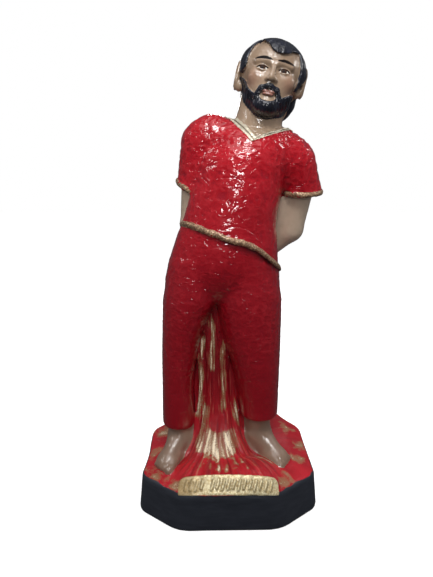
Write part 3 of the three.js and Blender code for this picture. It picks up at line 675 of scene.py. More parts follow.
def head(p):
    skull = join(face(p), brow(p), 2)
    skull = carve(skull, eye_socket(p), 2.4)
    skull = join(skull, nose(p), 1.2)
    skull = carve(skull, nostrils(p), 0.4)
    hair = overlap(skull - HAIR["lift"] - HAIR["groove"] * combed(p, 22), hair_area(p), 1)
    curls = 0.2 * np.cos(2 * math.pi * (p[0] + 0.5 * streaks(p, 3)) / 1.5) * smoothstep(-p[1], 0, 8)
    beard = overlap(skull - HAIR["beard"] - curls, beard_area(p), 1)
    whole = join(np.minimum(skull, hair), beard, 0.4)
    whole = join(join(whole, eyeballs(p), 0.3), lids(p), 0.6)
    whole = join(whole, carve(mouth(p), mouth_line(p), 0.3), 0.6)
    whole = join(whole, moustache(p), 0.5)
    return join(whole, both_ears(p), 1.6)


tilted_head = boxed((-4, -34, 240), (62, 34, 306), placed(head, HEAD_PLACE, HEAD_TURN))


def casting(p):
    legs = join(join(trousers(p), ribbed_stump_in_place(p), 3), ankle_webs(p), 4)
    held = join(np.minimum(legs, tunic(p)), join(arms(p), wrist_web(p), 2.5), 2.5)
    figure = join(held, join(neck(p), tilted_head(p), 2.5), 0.8)
    footing = join(ground(p), feet(p), 1.2)
    return join(join(figure, footing, 4), label(p), 0.8)


# Skinning. The cells stand in level layers that follow the figure's lean and draw in towards the head.

CELL = dict(base=1.17, band=2, head=0.5)
TRIANGLES = 166000  # after thinning, before the cuts along the paint
SETTLED_ABOVE = 0.6  # points lower than this stay where they are
FLAT_BELOW = 0.05  # points lower than this lie on the underside
SLIVER = 0.06  # no cut comes nearer than this share of an edge to its end
# Height, middle x and y, half width and half depth of the layers
CAGE = [
    (-4, 0, 0, 64, 57),
    (40, 0, 0, 64, 57),
    (90, -2, 2, 52, 40),
    (170, 3, 7, 50, 42),
    (205, 11, 5, 53, 40),
    (225, 13, 3, 51, 37),
    (244, 13, 3, 48, 32),
    (256, 16, 2, 42, 29),
    (268, 26, 0, 27, 28),
    (304, 30, 0, 26, 28),
]


def grid_nodes():
    """The grid's corner points, as an array of three planes: x, y and z of each layer, row and place."""
    heights, *sizes = zip(*CAGE)
    middle_x, middle_y, half_width, half_depth = [curve_through(heights, s) for s in sizes]
    layers = [-CELL["base"] / 2]
    while layers[-1] < heights[-1]:
        fine, plain = smoothstep(layers[-1], 205, 255), 3 < layers[-1] < BASE["band"] - 4
        step = CELL["base"] + (CELL["head"] - CELL["base"]) * fine
        layers.append(layers[-1] + (CELL["band"] if plain else step))
    z = np.array(layers[: len(layers) // 2 * 2])
    across = round(half_width(0) / CELL["base"]) * 2
    deep = round(half_depth(0) / CELL["base"]) * 2
    u, v = np.linspace(-1, 1, across), np.linspace(-1, 1, deep)
    shape = (len(z), deep, across)
    x = middle_x(z)[:, None, None] + half_width(z)[:, None, None] * u[None, None, :]
    y = middle_y(z)[:, None, None] + half_depth(z)[:, None, None] * v[None, :, None]
    return np.array([np.broadcast_to(a, shape) for a in (x, y, z[:, None, None])])


def grown(mask):
    """A mask that takes in the neighbours on all sides."""
    for axis in range(3):
        rolled = [np.roll(mask, step, axis) for step in (-1, 1)]
        mask = mask | rolled[0] | rolled[1]
    return mask


def sample(field, nodes):
    """The field at every node: at every second node first, and at the rest only where the skin is near."""
    coarse = nodes[:, ::2, ::2, ::2]
    depths = field(coarse.reshape(3, -1)).reshape(coarse.shape[1:])
    gaps = [np.abs(np.diff(nodes[axis], axis=2 - axis)).mean(axis=(1, 2)) for axis in range(2)]
    reach = 1.6 * 2 * np.hypot(gaps[0], gaps[1])[::2][: len(depths)]
    near = grown(np.abs(depths) < reach[:, None, None])
    for axis in range(3):
        depths = np.repeat(depths, 2, axis)
        near = np.repeat(near, 2, axis)
    depths[near] = field(nodes[:, near])
    return depths


def cell_edges():
    """The twelve edges of a cell, as pairs of corners."""
    corners = list(np.ndindex(2, 2, 2))
    for a in corners:
        for b in corners:
            if sum(b) - sum(a) == 1 and all(high >= low for low, high in zip(a, b)):
                yield a, b


def cell_points(nodes, depths, cells):
    """The mean of the places where the skin crosses the edges of each cell."""
    total, crossings = np.zeros((3, cells.shape[1])), np.zeros(cells.shape[1])
    for a, b in cell_edges():
        at_a, at_b = [tuple(cells[i] + corner[i] for i in range(3)) for corner in (a, b)]
        depth_a, depth_b = depths[at_a], depths[at_b]
        crossed = (depth_a < 0) != (depth_b < 0)
        t = np.where(crossed, depth_a / np.where(crossed, depth_a - depth_b, 1), 0)
        node_a, node_b = nodes[(slice(None), *at_a)], nodes[(slice(None), *at_b)]
        total += (node_a + t * (node_b - node_a)) * crossed
        crossings += crossed
    return total / crossings


def faces_across(axis, nodes, inside, number, points):
    """A four-sided face, turned outwards, for each edge along an axis that the skin crosses."""
    other = [a for a in range(3) if a != axis]
    low, high = [slice(None)] * 3, [slice(None)] * 3
    low[axis], high[axis] = slice(0, -1), slice(1, None)
    start, end = inside[tuple(low)], inside[tuple(high)]
    edges = np.argwhere(start != end)
    inner = [(edges[:, a] > 0) & (edges[:, a] < number.shape[a]) for a in other]
    edges = edges[np.all(inner, axis=0)]
    around = []
    for s, t in ((-1, -1), (-1, 0), (0, 0), (0, -1)):
        cell = edges.copy()
        cell[:, other[0]] += s
        cell[:, other[1]] += t
        around.append(number[tuple(cell.T)])
    quads = np.array(around).T
    ends = edges.copy()
    ends[:, axis] += 1
    outward = nodes[(slice(None), *ends.T)] - nodes[(slice(None), *edges.T)]
    outward = np.where(start[tuple(edges.T)], outward, -outward)
    corner = points[:, quads]
    across = corner[:, :, 2] - corner[:, :, 0], corner[:, :, 3] - corner[:, :, 1]
    flip = (np.cross(*across, axis=0) * outward).sum(axis=0) < 0
    quads[flip] = quads[flip][:, ::-1]
    return quads


def net(nodes, depths):
    """One point in each cell that the skin passes through, and the faces between them."""
    inside = depths < 0
    spans = [[slice(0, -1), slice(1, None)]] * 3
    corners = [inside[corner] for corner in itertools.product(*spans)]
    counts = np.sum(corners, axis=0, dtype=int)
    cells = np.argwhere((counts > 0) & (counts < len(corners))).T
    number = np.full(counts.shape, -1)
    number[tuple(cells)] = np.arange(cells.shape[1])
    points = cell_points(nodes, depths, cells)
    quads = [faces_across(axis, nodes, inside, number, points) for axis in range(3)]
    return points, np.concatenate(quads)


def slopes(field, p, step=0.05):
    """The field at points, and its slope along x, y and z."""
    depth = field(p)
    moved = [field(p + step * np.eye(3)[:, i : i + 1]) for i in range(3)]
    return depth, (np.array(moved) - depth) / step


def settle(field, points, rounds=3, most=0.35):
    """Moves points onto the skin. The flat underside stays where it is."""
    for _ in range(rounds):
        depth, slope = slopes(field, points)
        move = np.clip(depth / np.maximum((slope**2).sum(axis=0), 0.2), -most, most)
        points = np.where(points[2] > SETTLED_ABOVE, points - move * slope, points)
    return points


def split_quads(points, quads):
    """Two triangles for each four-sided face, parted along the shorter diagonal."""
    corner = points[:, quads]
    first = ((corner[:, :, 0] - corner[:, :, 2]) ** 2).sum(axis=0)
    second = ((corner[:, :, 1] - corner[:, :, 3]) ** 2).sum(axis=0)
    turned = np.where((first <= second)[:, None], quads, np.roll(quads, -1, axis=1))
    return np.concatenate([turned[:, [0, 1, 2]], turned[:, [0, 2, 3]]])


def refined(points, faces, where):
    """Each chosen triangle is split in four, and its neighbours are split to meet it."""
    edges = np.sort(faces[:, [[0, 1], [1, 2], [2, 0]]], axis=2)
    keys = edges[:, :, 0] * points.shape[1] + edges[:, :, 1]
    known, number = np.unique(keys, return_inverse=True)
    number = number.reshape(keys.shape)
    split = np.zeros(len(known), bool)
    split[number[where]] = True
    low, high = known // points.shape[1], known % points.shape[1]
    place = np.cumsum(split) - 1 + points.shape[1]
    middles = (points[:, low[split]] + points[:, high[split]]) / 2
    count = split[number].sum(axis=1)
    first = np.where(count == 2, (~split[number]).argmax(axis=1), split[number].argmax(axis=1))
    turn = (first[:, None] + [0, 1, 2]) % 3
    rows = np.arange(len(faces))[:, None]
    a, b, c = faces[rows, turn].T
    ab, bc, ca = place[number[rows, turn]].T
    parts = {
        0: [(a, b, c)],
        1: [(a, ab, c), (ab, b, c)],
        2: [(a, b, ca), (b, bc, ca), (bc, c, ca)],
        3: [(a, ab, ca), (ab, b, bc), (ca, bc, c), (ab, bc, ca)],
    }
    pieces = [np.array(part).T[count == n] for n, split_faces in parts.items() for part in split_faces]
    return np.concatenate([points, middles], axis=1), np.concatenate(pieces)


def cut_along(points, values, faces, column_number):
    """Splits the triangles that a value's zero line crosses, so that the line runs along edges."""
    level = values[column_number]
    level[np.abs(level) < 1e-4] = 1e-4
    side = level[faces] < 0
    count = side.sum(axis=1)
    mixed = (count == 1) | (count == 2)
    crossed, side, count = faces[mixed], side[mixed], count[mixed]
    lone = np.where(count == 1, side.argmax(axis=1), (~side).argmax(axis=1))
    rows = np.arange(len(crossed))
    a, b, c = [crossed[rows, (lone + n) % 3] for n in range(3)]
    edges = np.concatenate([np.sort([a, b], axis=0), np.sort([a, c], axis=0)], axis=1).T
    edges, where = np.unique(edges, axis=0, return_inverse=True)
    ab, ac = where.reshape(2, -1) + points.shape[1]
    start, end = edges.T
    t = np.clip(level[start] / (level[start] - level[end]), SLIVER, 1 - SLIVER)
    new_points = points[:, start] + t * (points[:, end] - points[:, start])
    new_values = values[:, start] + t * (values[:, end] - values[:, start])
    new_values[column_number] = 0
    triangles = [np.array([a, ab, ac]), np.array([ab, b, c]), np.array([ab, c, ac])]
    return (
        np.concatenate([points, new_points], axis=1),
        np.concatenate([values, new_values], axis=1),
        np.concatenate([faces[~mixed], *[t.T for t in triangles]]),
    )


def close_underside(points, faces):
    """Swaps the small flat facets underneath for a fan round the middle."""
    flat = (points[2][faces] < FLAT_BELOW).all(axis=1)
    points[2] = np.where(points[2] < FLAT_BELOW, 0, points[2])
    edges = np.concatenate([faces[flat][:, [n, (n + 1) % 3]] for n in range(3)])
    known = set(map(tuple, edges))
    rim = np.array([edge for edge in known if edge[::-1] not in known])
    middle = points.shape[1]
    points = np.concatenate([points, [[0.0], [0.0], [0.0]]], axis=1)
    fan = np.column_stack([rim, np.full(len(rim), middle)])
    return points, np.concatenate([faces[~flat], fan])


# Fine relief, in millimetres along the normal

FULL_RIDGE = 0.32


def crumple(p):
    """The cloth's crumpled skin: a net of small sharp ridges over soft hollows, boldest on the chest."""
    bent = p + 0.9 * np.array([lumps(p, 4), lumps(p[::-1], 4), creases(p, 4)])
    wide = 1 - 2.4 * np.abs(creases(bent * [[1], [1], [1.3]], 3.2))
    fine = 1 - 2.4 * np.abs(lumps(bent[[1, 2, 0]], 1.9))
    chest = smoothstep(p[2], 185, 215)
    return (0.17 + 0.09 * chest) * wide + (0.04 + 0.06 * chest) * fine


def relief(p, paint):
    """Height of the roughness: crumpled on the cloth, streaked on the bark and nearly smooth on the rest."""
    cloth, bark = paint["cloth"], paint["bark"]
    lower_legs = 0.5 + 0.5 * smoothstep(p[2], 50, 120)
    rough = 0.12 * streaks(p * [[1], [1], [0.3]], 1.7) + 0.1 * lumps(p, 4)
    soft = 0.05 * lumps(p, 5) + 0.03 * creases(p, 1.6)
    return cloth * crumple(p) * lower_legs + bark * rough + (1 - cloth - bark) * soft


# Paint areas. Each is a distance from its edge, negative inside the area.

OUTSIDE = 9  # well away from every edge
PUPIL = dict(shift=0.1, rise=0.15, radius=0.55, blur=0.4)
IRIS = dict(radius=1.7, ring=2.3)
BROW = dict(x=6.6, z=5.2, arch=1.1, half_length=5.2, half_width=1.15)
CHEEK = dict(x=11, z=-6, half_width=4, half_height=5)


def in_head(p, read):
    """Something that is read in the head's own place, and is outside everywhere else."""
    values = np.full(p.shape[1], float(OUTSIDE))
    near = (p[2] > HEAD_FOOT - 2) & (p[0] > -6)
    values[near] = read(local(p[:, near], HEAD_PLACE, HEAD_TURN))
    return values


def black_hair(p):
    hair = np.minimum(np.minimum(hair_area(p), beard_area(p)), moustache(p) - 0.2)
    return np.maximum(np.maximum(hair, 0.3 - both_ears(p)), head(p) - 1.2)


def from_pupil(p):
    """Distance from the middle of the nearer pupil, seen from the front. Both eyes look a little to -X."""
    across = np.abs(p[0]) - EYE["x"] + PUPIL["shift"] * np.sign(p[0])
    return np.hypot(across, p[2] - EYE["z"] - PUPIL["rise"])


def brow_line(p):
    """Distance outside the brows, which are arched strokes that thin out to both ends."""
    across = np.abs(np.abs(p[0]) - BROW["x"])
    arch = 1 - (across / BROW["half_length"]) ** 2
    half_width = BROW["half_width"] * np.sqrt(np.maximum(arch, 0)) - 0.06
    away = np.abs(p[2] - BROW["z"] - BROW["arch"] * arch) - half_width
    return np.maximum(away, across - BROW["half_length"] + 0.1)


def dark_lines(p):
    """Brows, lash lines and irises, painted with a fine brush."""
    lash = np.maximum(np.abs(between_lids(p) - 0.1) - 0.42, EYE["z"] + 0.1 - p[2])
    iris = np.maximum(from_pupil(p) - IRIS["radius"], between_lids(p))
    return np.maximum(np.minimum(np.minimum(brow_line(p), lash), iris), p[1] + 8)


def neck_trim(p):
    half = NECKLINE["trim"] / 2
    across = np.abs(neck_opening(p) - half + 0.2 * creases(p, 2.5))
    return np.maximum(across - half, NECKLINE_FOOT - p[2])


def label_area(p):
    u, v, w = local(p, LABEL_PLACE, (-LABEL_LEAN, 0, 0))
    return np.maximum(label_sides(u, w) + 0.2 * creases(p, 3) - 0.2, np.abs(label_face(u, v)) - 3)


def eye_whites(p):
    return np.maximum(between_lids(p), np.maximum(eyeballs(p) - 0.4, p[1] + 8))


def lips(p):
    return np.maximum(mouth(p) - 0.12, 0.1 - moustache(p))


def paint_areas(p):
    """The edges along which the skin is cut, in the order in which the paint went on."""
    flesh = np.minimum(np.minimum(arms(p), feet(p)), np.minimum(neck(p), tilted_head(p)))
    cloth = np.minimum(np.minimum(trousers(p), tunic(p)), wrist_web(p))
    earth = np.minimum(np.minimum(ribbed_stump_in_place(p), ankle_webs(p)), ground(p))
    wave = 0.5 * lumps(p * [[1], [1], [0]], 9) + 0.25 * creases(p * [[1], [1], [0]], 3)
    trims = np.minimum(hem_cord(p), sleeve_trims(p)) - 0.3 + 0.15 * creases(p, 2.5)
    throat = np.where(p[2] > NECKLINE_FOOT, neck_opening(p), OUTSIDE)
    edges = {
        "brushed_red_enamel": earth - np.minimum(cloth, flesh),
        "flesh_enamel": np.minimum(flesh - np.minimum(cloth, earth), throat),
        "satin_black_enamel": p[2] - MOUND["rim"] + 0.5 - wave,
        "bronze_paint": np.minimum(np.where(p[2] < TUNIC_FOOT, OUTSIDE, trims), neck_trim(p)),
        "label_bronze": label_area(p),
        "black_gloss_enamel": in_head(p, black_hair),
        "white_enamel": in_head(p, eye_whites),
        "rose_enamel": in_head(p, lips),
        "brown_black_enamel": in_head(p, dark_lines),
    }
    return edges, {"cloth": cloth, "earth": earth, "flesh": flesh}


def cloth_and_bark(p, near):
    """How far the skin is cloth, and how far it is bark or ground: 0 to 1, with soft edges."""
    cloth = smoothstep(np.minimum(near["earth"], near["flesh"]) - near["cloth"], -0.5, 1.5)
    bark = smoothstep(near["flesh"] - near["earth"], -0.5, 1.5) * (1 - cloth)
    return {"cloth": cloth, "bark": bark * smoothstep(p[2], BASE["band"] - 0.5, BASE["band"] + 1)}


# The materials darken their colours by this closeness: painted shade in folds, creases and recesses.
def hollows(p, normal, reach=3.2):
    """How closed in a point is: 1 deep in a fold, 0 on an open face."""
    return 1 - np.clip(casting(p + normal * reach) / reach, 0, 1)


# Strokes of the bronze brush down the stump: angle round it, lowest and highest point, half width
BRUSH = [(-129, 54, 114, 9), (-113, 46, 66, 15), (-100, 88, 128, 11), (-72, 58, 118, 9), (-42, 46, 68, 8)]
# The broad stroke over the turn of the roots: bronze paint that also carries a painted highlight
ROOT_BRUSH_AND_HIGHLIGHT = dict(angle=-92, spread=36, low=37, high=49)
# Smudges of the same paint on the ground: x, y and radius
SMUDGES = [
    (-52, -6, 11),
    (-50, -30, 13),
    (-33, -44, 8),
    (-46, 22, 10),
    (25, -20, 8),
    (45, 24, 8),
    (48, -14, 8),
    (54, 6, 9),
    (36, -38, 7),
]


def dry_brushed(p, bark):
    """Where bronze paint was dragged over the ribs of the bark, the turn of the roots and the ground."""
    x, y, z = p
    angle = np.degrees(np.arctan2(y - STUMP["y"], x - STUMP["x"]))
    weight = 0.5 * streaks(p * [[1], [1], [0.2]], 4) + 0.5 * lumps(p, 9) - 0.25
    behind = smoothstep(np.abs(angle + 85), 60, 80)
    ribs = bark_ribs(p) / STUMP["flute_depth"]
    weight = weight + 0.3 * ribs * behind * smoothstep(z, 34, 48)
    weight = weight - 0.5 * (1 - behind) * smoothstep(z, 46, 54)
    for middle, low, high, width in BRUSH:
        sway = middle + 5 * lumps(p * [[0], [0], [1]], 14)
        ends = smoothstep(z, low - 4, low + 4) * smoothstep(-z, -high - 4, -high + 4)
        stroke = np.exp(-(((angle - sway) / width) ** 2)) * ends
        weight = np.maximum(weight, stroke - 0.2 * (1 + lumps(p, 5)))
    # Over the turn of the roots the stroke is bronze paint and, where strongest, a painted highlight.
    roots = np.exp(-(((angle - ROOT_BRUSH_AND_HIGHLIGHT["angle"]) / ROOT_BRUSH_AND_HIGHLIGHT["spread"]) ** 4))
    edge = 1.5 * streaks(p * [[1], [1], [0]], 2)
    roots = roots * smoothstep(z + edge, ROOT_BRUSH_AND_HIGHLIGHT["low"] - 1.5, ROOT_BRUSH_AND_HIGHLIGHT["low"] + 1.5)
    roots = roots * smoothstep(-z - edge, -ROOT_BRUSH_AND_HIGHLIGHT["high"] - 2, -ROOT_BRUSH_AND_HIGHLIGHT["high"] + 2)
    weight = np.maximum(weight, 1.2 * roots)
    low_ground = smoothstep(-z, -36, -32)
    for middle_x, middle_y, radius in SMUDGES:
        spot = np.exp(-((x - middle_x) ** 2 + (y - middle_y) ** 2) / radius**2) * low_ground
        weight = np.maximum(weight, 0.85 * spot + 0.3 * lumps(p, 4) + 0.3 * creases(p, 2) - 0.05)
    return bark * smoothstep(weight, -0.2, 1)


# The skin of the casting, thinned and cut along the paint


def to_mesh(name, points, faces):
    mesh = bpy.data.meshes.new(name)
    mesh.from_pydata((points.T * MM).tolist(), [], faces.tolist())
    return mesh


def thinned(points, faces):
    """Fewer triangles, with the small ones kept where the form is small."""
    mesh = to_mesh("thinning", points, faces)
    piece = bpy.data.objects.new("thinning", mesh)
    bpy.context.scene.collection.objects.link(piece)
    modifier = piece.modifiers.new("thin", "DECIMATE")
    modifier.ratio = min(TRIANGLES / len(faces), 1)
    modifier.use_collapse_triangulate = True
    kept = piece.evaluated_get(bpy.context.evaluated_depsgraph_get()).to_mesh()
    kept_points = np.empty(len(kept.vertices) * 3)
    kept.vertices.foreach_get("co", kept_points)
    corners = np.empty(len(kept.polygons) * 3, int)
    kept.polygons.foreach_get("vertices", corners)
    bpy.data.objects.remove(piece)
    bpy.data.meshes.remove(mesh)
    return kept_points.reshape(-1, 3).T / MM, corners.reshape(-1, 3)


def detailed(p):
    """Places whose forms are too small for the common cell: the label, the hem cord and the face."""
    u, v, w = local(p, LABEL_PLACE, (-LABEL_LEAN, 0, 0))
    on_label = (label_sides(u, w) < 0.5) & (np.abs(label_face(u, v)) < 2)
    on_cord = (p[2] > TUNIC_FOOT) & (p[2] < 205) & (hem_cord(p) < 0.6)
    x, y, z = local(p, HEAD_PLACE, HEAD_TURN)
    on_face = (p[2] > 245) & (y < -8) & (np.abs(x) < 13) & (z > -17) & (z < 9)
    return on_label | on_cord | on_face


def read_skin(points):
    """The paint areas at points, how far they are cloth and bark, and the way that the skin faces."""
    areas, near = paint_areas(points)
    _, slope = slopes(casting, points)
    normal = slope / np.maximum(np.linalg.norm(slope, axis=0), 1e-6)
    return areas, cloth_and_bark(points, near), normal


def read_marks(p, soft, normal):
    """What the materials read at each point, such as where the relief stands high or a fold is deep."""
    in_place = local(p, HEAD_PLACE, HEAD_TURN)
    to_pupil = from_pupil(in_place)
    inner, outer = PUPIL["radius"], IRIS["ring"]
    across_cheek = (np.abs(in_place[0]) - CHEEK["x"]) / CHEEK["half_width"]
    up_cheek = (in_place[2] - CHEEK["z"]) / CHEEK["half_height"]
    groove = np.exp(-(((neck_opening(p) - NECKLINE["trim"] / 2) / 0.4) ** 2))
    return {
        "ridge": relief(p, soft) / FULL_RIDGE,
        # Painted shade in folds and creases, half as strong on the bark.
        "hollow": hollows(p, normal) * (1 - 0.5 * soft["bark"]),
        "brushed": dry_brushed(p, soft["bark"]),
        "blush": np.where(p[2] > HEAD_FOOT, np.exp(-(across_cheek**2) - up_cheek**2), 0),
        # The dark line painted along the neckline's trim, and painted shade at the foot of the label's
        # strokes.
        "groove": np.where(p[2] > NECKLINE_FOOT, groove, stroke_edges(p)),
        "iris": smoothstep(to_pupil, inner, inner + PUPIL["blur"])
        * smoothstep(-to_pupil, -outer, PUPIL["blur"] - outer),
    }


def make_statue():
    nodes = grid_nodes()
    points, quads = net(nodes, sample(casting, nodes))
    points = settle(casting, points)
    faces = split_quads(points, quads)
    points, faces = refined(points, faces, detailed(points[:, faces].mean(axis=2)))
    points, faces = close_underside(settle(casting, points, rounds=1), faces)

    _, soft, normal = read_skin(points)
    height = relief(points, soft) * smoothstep(points[2], 0.5, 2)
    points, faces = thinned(points + normal * height, faces)

    areas, soft, normal = read_skin(points)
    marks = read_marks(points, soft, normal)
    values = np.array([*areas.values(), *marks.values()])
    for column_number in range(len(areas)):
        points, values, faces = cut_along(points, values, faces, column_number)

    middle = values[: len(areas), faces].mean(axis=2)
    material = np.zeros(len(faces), int)
    for number, row in enumerate(middle):
        material[row < 0] = number + 1

    mesh = to_mesh("painted_plaster", points, faces)
    for name, row in zip(marks, values[len(areas) :]):
        mesh.attributes.new(name, "FLOAT", "POINT").data.foreach_set("value", row)
    mesh.polygons.foreach_set("material_index", material)
    mesh.polygons.foreach_set("use_smooth", np.ones(len(faces), bool))
    mesh.update()
    return mesh


# Materials. Every finish is brushed on by hand over the same plaster. A clear gloss varnish covers all but
# the black band of the base and the thin lines of the face. It dried in fine wrinkles, which break its
# reflections into small bright worms.

MILLIMETRES = 1000  # a pattern of scale MILLIMETRES / 9 has cells of 9 mm
VARNISH = {
    "IOR": 1.5,
    "Specular IOR Level": 0.1,
    "Coat Weight": 0.9,
    "Coat Roughness": 0.05,
    "Coat IOR": 1.65,
}
PAINT_SHARE = 0.25  # how much of the varnish's bumps the paint under it has
MARKS = ("ridge", "hollow", "brushed", "blush", "groove", "iris")


def srgb(code):
    """A colour written as sRGB hex, as linear red, green, blue and alpha."""
    channels = [int(code[i : i + 2], 16) / 255 for i in (0, 2, 4)]
    linear = [c / 12.92 if c <= 0.04045 else ((c + 0.055) / 1.055) ** 2.4 for c in channels]
    return (*linear, 1)


def add(tree, kind, inputs, **settings):
    """Adds a node with its settings, fills its inputs with values or outputs, and gives its first output."""
    node = tree.nodes.new(kind)
    for name, value in settings.items():
        setattr(node, name, value)
    for name, value in inputs.items():
        if isinstance(value, bpy.types.NodeSocket):
            tree.links.new(value, node.inputs[name])
        else:
            node.inputs[name].default_value = value
    return node.outputs[0] if node.outputs else node


def covered(tree, under, over, value, low, high):
    """A colour with another one laid over it, more and more as a value rises from low to high."""
    cover = add(tree, "ShaderNodeMapRange", {"Value": value, "From Min": low, "From Max": high})
    return add(tree, "ShaderNodeMixRGB", {"Fac": cover, "Color1": under, "Color2": over})


def emptied_tree(owner):
    """The node tree of a material or of the world, with no node in it."""
    owner.use_nodes = True
    owner.node_tree.nodes.clear()
    return owner.node_tree


def painted(name, mix_paint, finish):
    """A material. mix_paint gives its colour, its roughness, and its bumps as heights and millimetres."""
    material = bpy.data.materials.new(name)
    tree = emptied_tree(material)
    place = tree.nodes.new("ShaderNodeTexCoord").outputs["Object"]
    marks = {
        mark: add(tree, "ShaderNodeAttribute", {}, attribute_name=mark).node.outputs["Fac"]
        for mark in MARKS
    }
    colour, roughness, bumps = mix_paint(tree, place, marks)
    inputs = {"Base Color": colour, "Roughness": roughness}
    for layer, share in (("Normal", PAINT_SHARE), ("Coat Normal", 1)):
        for height, depth in bumps:
            below = {"Normal": inputs[layer]} if layer in inputs else {}
            bump = {"Height": height, "Distance": depth * share * MM, **below}
            inputs[layer] = add(tree, "ShaderNodeBump", bump)
    shader = add(tree, "ShaderNodeBsdfPrincipled", {**inputs, **finish})
    add(tree, "ShaderNodeOutputMaterial", {"Surface": shader})
    return material


def red_gloss_enamel(tree, place, marks):
    """Cherry red gloss enamel, with painted shade in the hollows and a painted highlight on the ridges."""
    patches = add(tree, "ShaderNodeTexNoise", {"Vector": place, "Scale": MILLIMETRES / 18, "Detail": 3})
    lying = add(tree, "ShaderNodeMapping", {"Vector": place, "Scale": (0.6, 0.6, 1)})
    broad = {"Vector": lying, "Scale": MILLIMETRES / 3.8, "Detail": 0.5, "Distortion": 1.2}
    wrinkles = add(tree, "ShaderNodeTexNoise", broad)
    height = add(tree, "ShaderNodeSeparateXYZ", {"Vector": place}).node.outputs["Z"]
    fading = {"From Min": 30 * MM, "From Max": 100 * MM, "To Min": 0.5, "To Max": wrinkles}
    wrinkles = add(tree, "ShaderNodeMapRange", {"Value": height, **fading})
    worms = add(tree, "ShaderNodeMapRange", {"Value": wrinkles, "From Min": 0.52, "From Max": 0.62})
    colour = covered(tree, srgb("a80c1a"), srgb("b81422"), patches, 0.4, 0.6)
    # Painted shade: the red darkens downwards from the chest to the trousers.
    colour = covered(tree, srgb("920c1a"), colour, height, 150 * MM, 225 * MM)
    # Painted highlight on the ridges of the relief, and painted shade in its low parts.
    colour = covered(tree, colour, srgb("bc2630"), marks["ridge"], 0.3, 1.2)
    colour = covered(tree, srgb("8c1022"), colour, marks["ridge"], -1.4, 0)
    # Painted shade in the folds.
    colour = covered(tree, colour, srgb("4e0810"), marks["hollow"], 0.4, 1)
    return colour, 0.35, [(wrinkles, 0.55), (worms, 0.12)]


def brushed_red_enamel(tree, place, marks):
    """The same red over bark and roots, dry-brushed with bronze, with painted shade and a painted highlight.
    """
    x, y, z = STUMP["x"] * MM, STUMP["y"] * MM, 0
    from_axis = add(tree, "ShaderNodeMapping", {"Vector": place, "Location": (-x, -y, z)})
    parts = add(tree, "ShaderNodeSeparateXYZ", {"Vector": from_axis}).node.outputs
    turn = add(tree, "ShaderNodeMath", {0: parts["Y"], 1: parts["X"]}, operation="ARCTAN2")
    # The brush's hairs left streaks 1.4 mm wide on the stump's 20 mm radius, and 18 mm long.
    hairs_in_radian, hairs_in_metre = 14.0, 56.0
    upward = {0: parts["Z"], 1: hairs_in_metre / hairs_in_radian}
    reach = add(tree, "ShaderNodeMath", upward, operation="MULTIPLY")
    fanned = add(tree, "ShaderNodeCombineXYZ", {"X": turn, "Y": reach})
    streaked = {"Vector": fanned, "Scale": hairs_in_radian, "Detail": 4, "Distortion": 0.3}
    hairs = add(tree, "ShaderNodeTexNoise", streaked)
    on_bark = {"From Min": 26 * MM, "From Max": 33 * MM, "To Min": 0.5, "To Max": hairs}
    hairs = add(tree, "ShaderNodeMapRange", {"Value": parts["Z"], **on_bark})
    grit = add(tree, "ShaderNodeTexNoise", {"Vector": place, "Scale": MILLIMETRES / 0.9, "Detail": 4})
    patches = add(tree, "ShaderNodeTexNoise", {"Vector": place, "Scale": MILLIMETRES / 18, "Detail": 3})
    colour = covered(tree, srgb("aa121e"), srgb("be1c28"), patches, 0.4, 0.6)
    # Painted shade on the trunk between the legs, above the roots.
    colour = covered(tree, colour, srgb("820c16"), parts["Z"], 45 * MM, 90 * MM)
    colour = covered(tree, srgb("80101a"), colour, hairs, 0.3, 0.5)
    colour = covered(tree, colour, srgb("cc6a5c"), hairs, 0.6, 0.76)
    # Painted shade in the hollows.
    colour = covered(tree, colour, srgb("4a0a12"), marks["hollow"], 0.5, 1)
    dry = add(tree, "ShaderNodeMath", {0: hairs, 1: 2.2, 2: -0.4}, operation="MULTIPLY_ADD")
    dry = add(tree, "ShaderNodeMath", {0: grit, 1: 0.6, 2: dry}, operation="MULTIPLY_ADD")
    dry = add(tree, "ShaderNodeMath", {0: dry, 1: marks["brushed"]}, operation="ADD")
    colour = covered(tree, colour, srgb("9a7050"), dry, 1.5, 1.9)
    # The strongest strokes turn near-white: a painted highlight over the bronze, mostly on the turn of the
    # roots.
    colour = covered(tree, colour, srgb("fceccc"), dry, 1.95, 2.25)
    return colour, 0.4, [(hairs, 1), (grit, 0.4)]


def flesh_enamel(tree, place, marks):
    """Grey-tan enamel, brushed smooth, warmer on the cheeks and brown where it is shaded."""
    patches = add(tree, "ShaderNodeTexNoise", {"Vector": place, "Scale": MILLIMETRES / 9, "Detail": 2})
    worms = {"Vector": place, "Scale": MILLIMETRES / 2.1, "Detail": 1, "Distortion": 1.4}
    wrinkles = add(tree, "ShaderNodeTexNoise", worms)
    height = add(tree, "ShaderNodeSeparateXYZ", {"Vector": place}).node.outputs["Z"]
    colour = covered(tree, srgb("cab29a"), srgb("d8c0a8"), patches, 0.35, 0.65)
    # Painted light and shade: lightest on the arms, darker up the neck and head and down on the feet.
    colour = covered(tree, colour, srgb("a28a73"), height, 215 * MM, 240 * MM)
    colour = covered(tree, colour, srgb("917a64"), height, 258 * MM, 282 * MM)
    colour = covered(tree, srgb("8e7562"), colour, height, 60 * MM, 120 * MM)
    colour = covered(tree, colour, srgb("a07460"), marks["blush"], 0, 1.8)
    # Painted shade in the folds.
    colour = covered(tree, colour, srgb("6c5646"), marks["hollow"], 0.7, 1.2)
    return colour, 0.35, [(wrinkles, 0.24)]


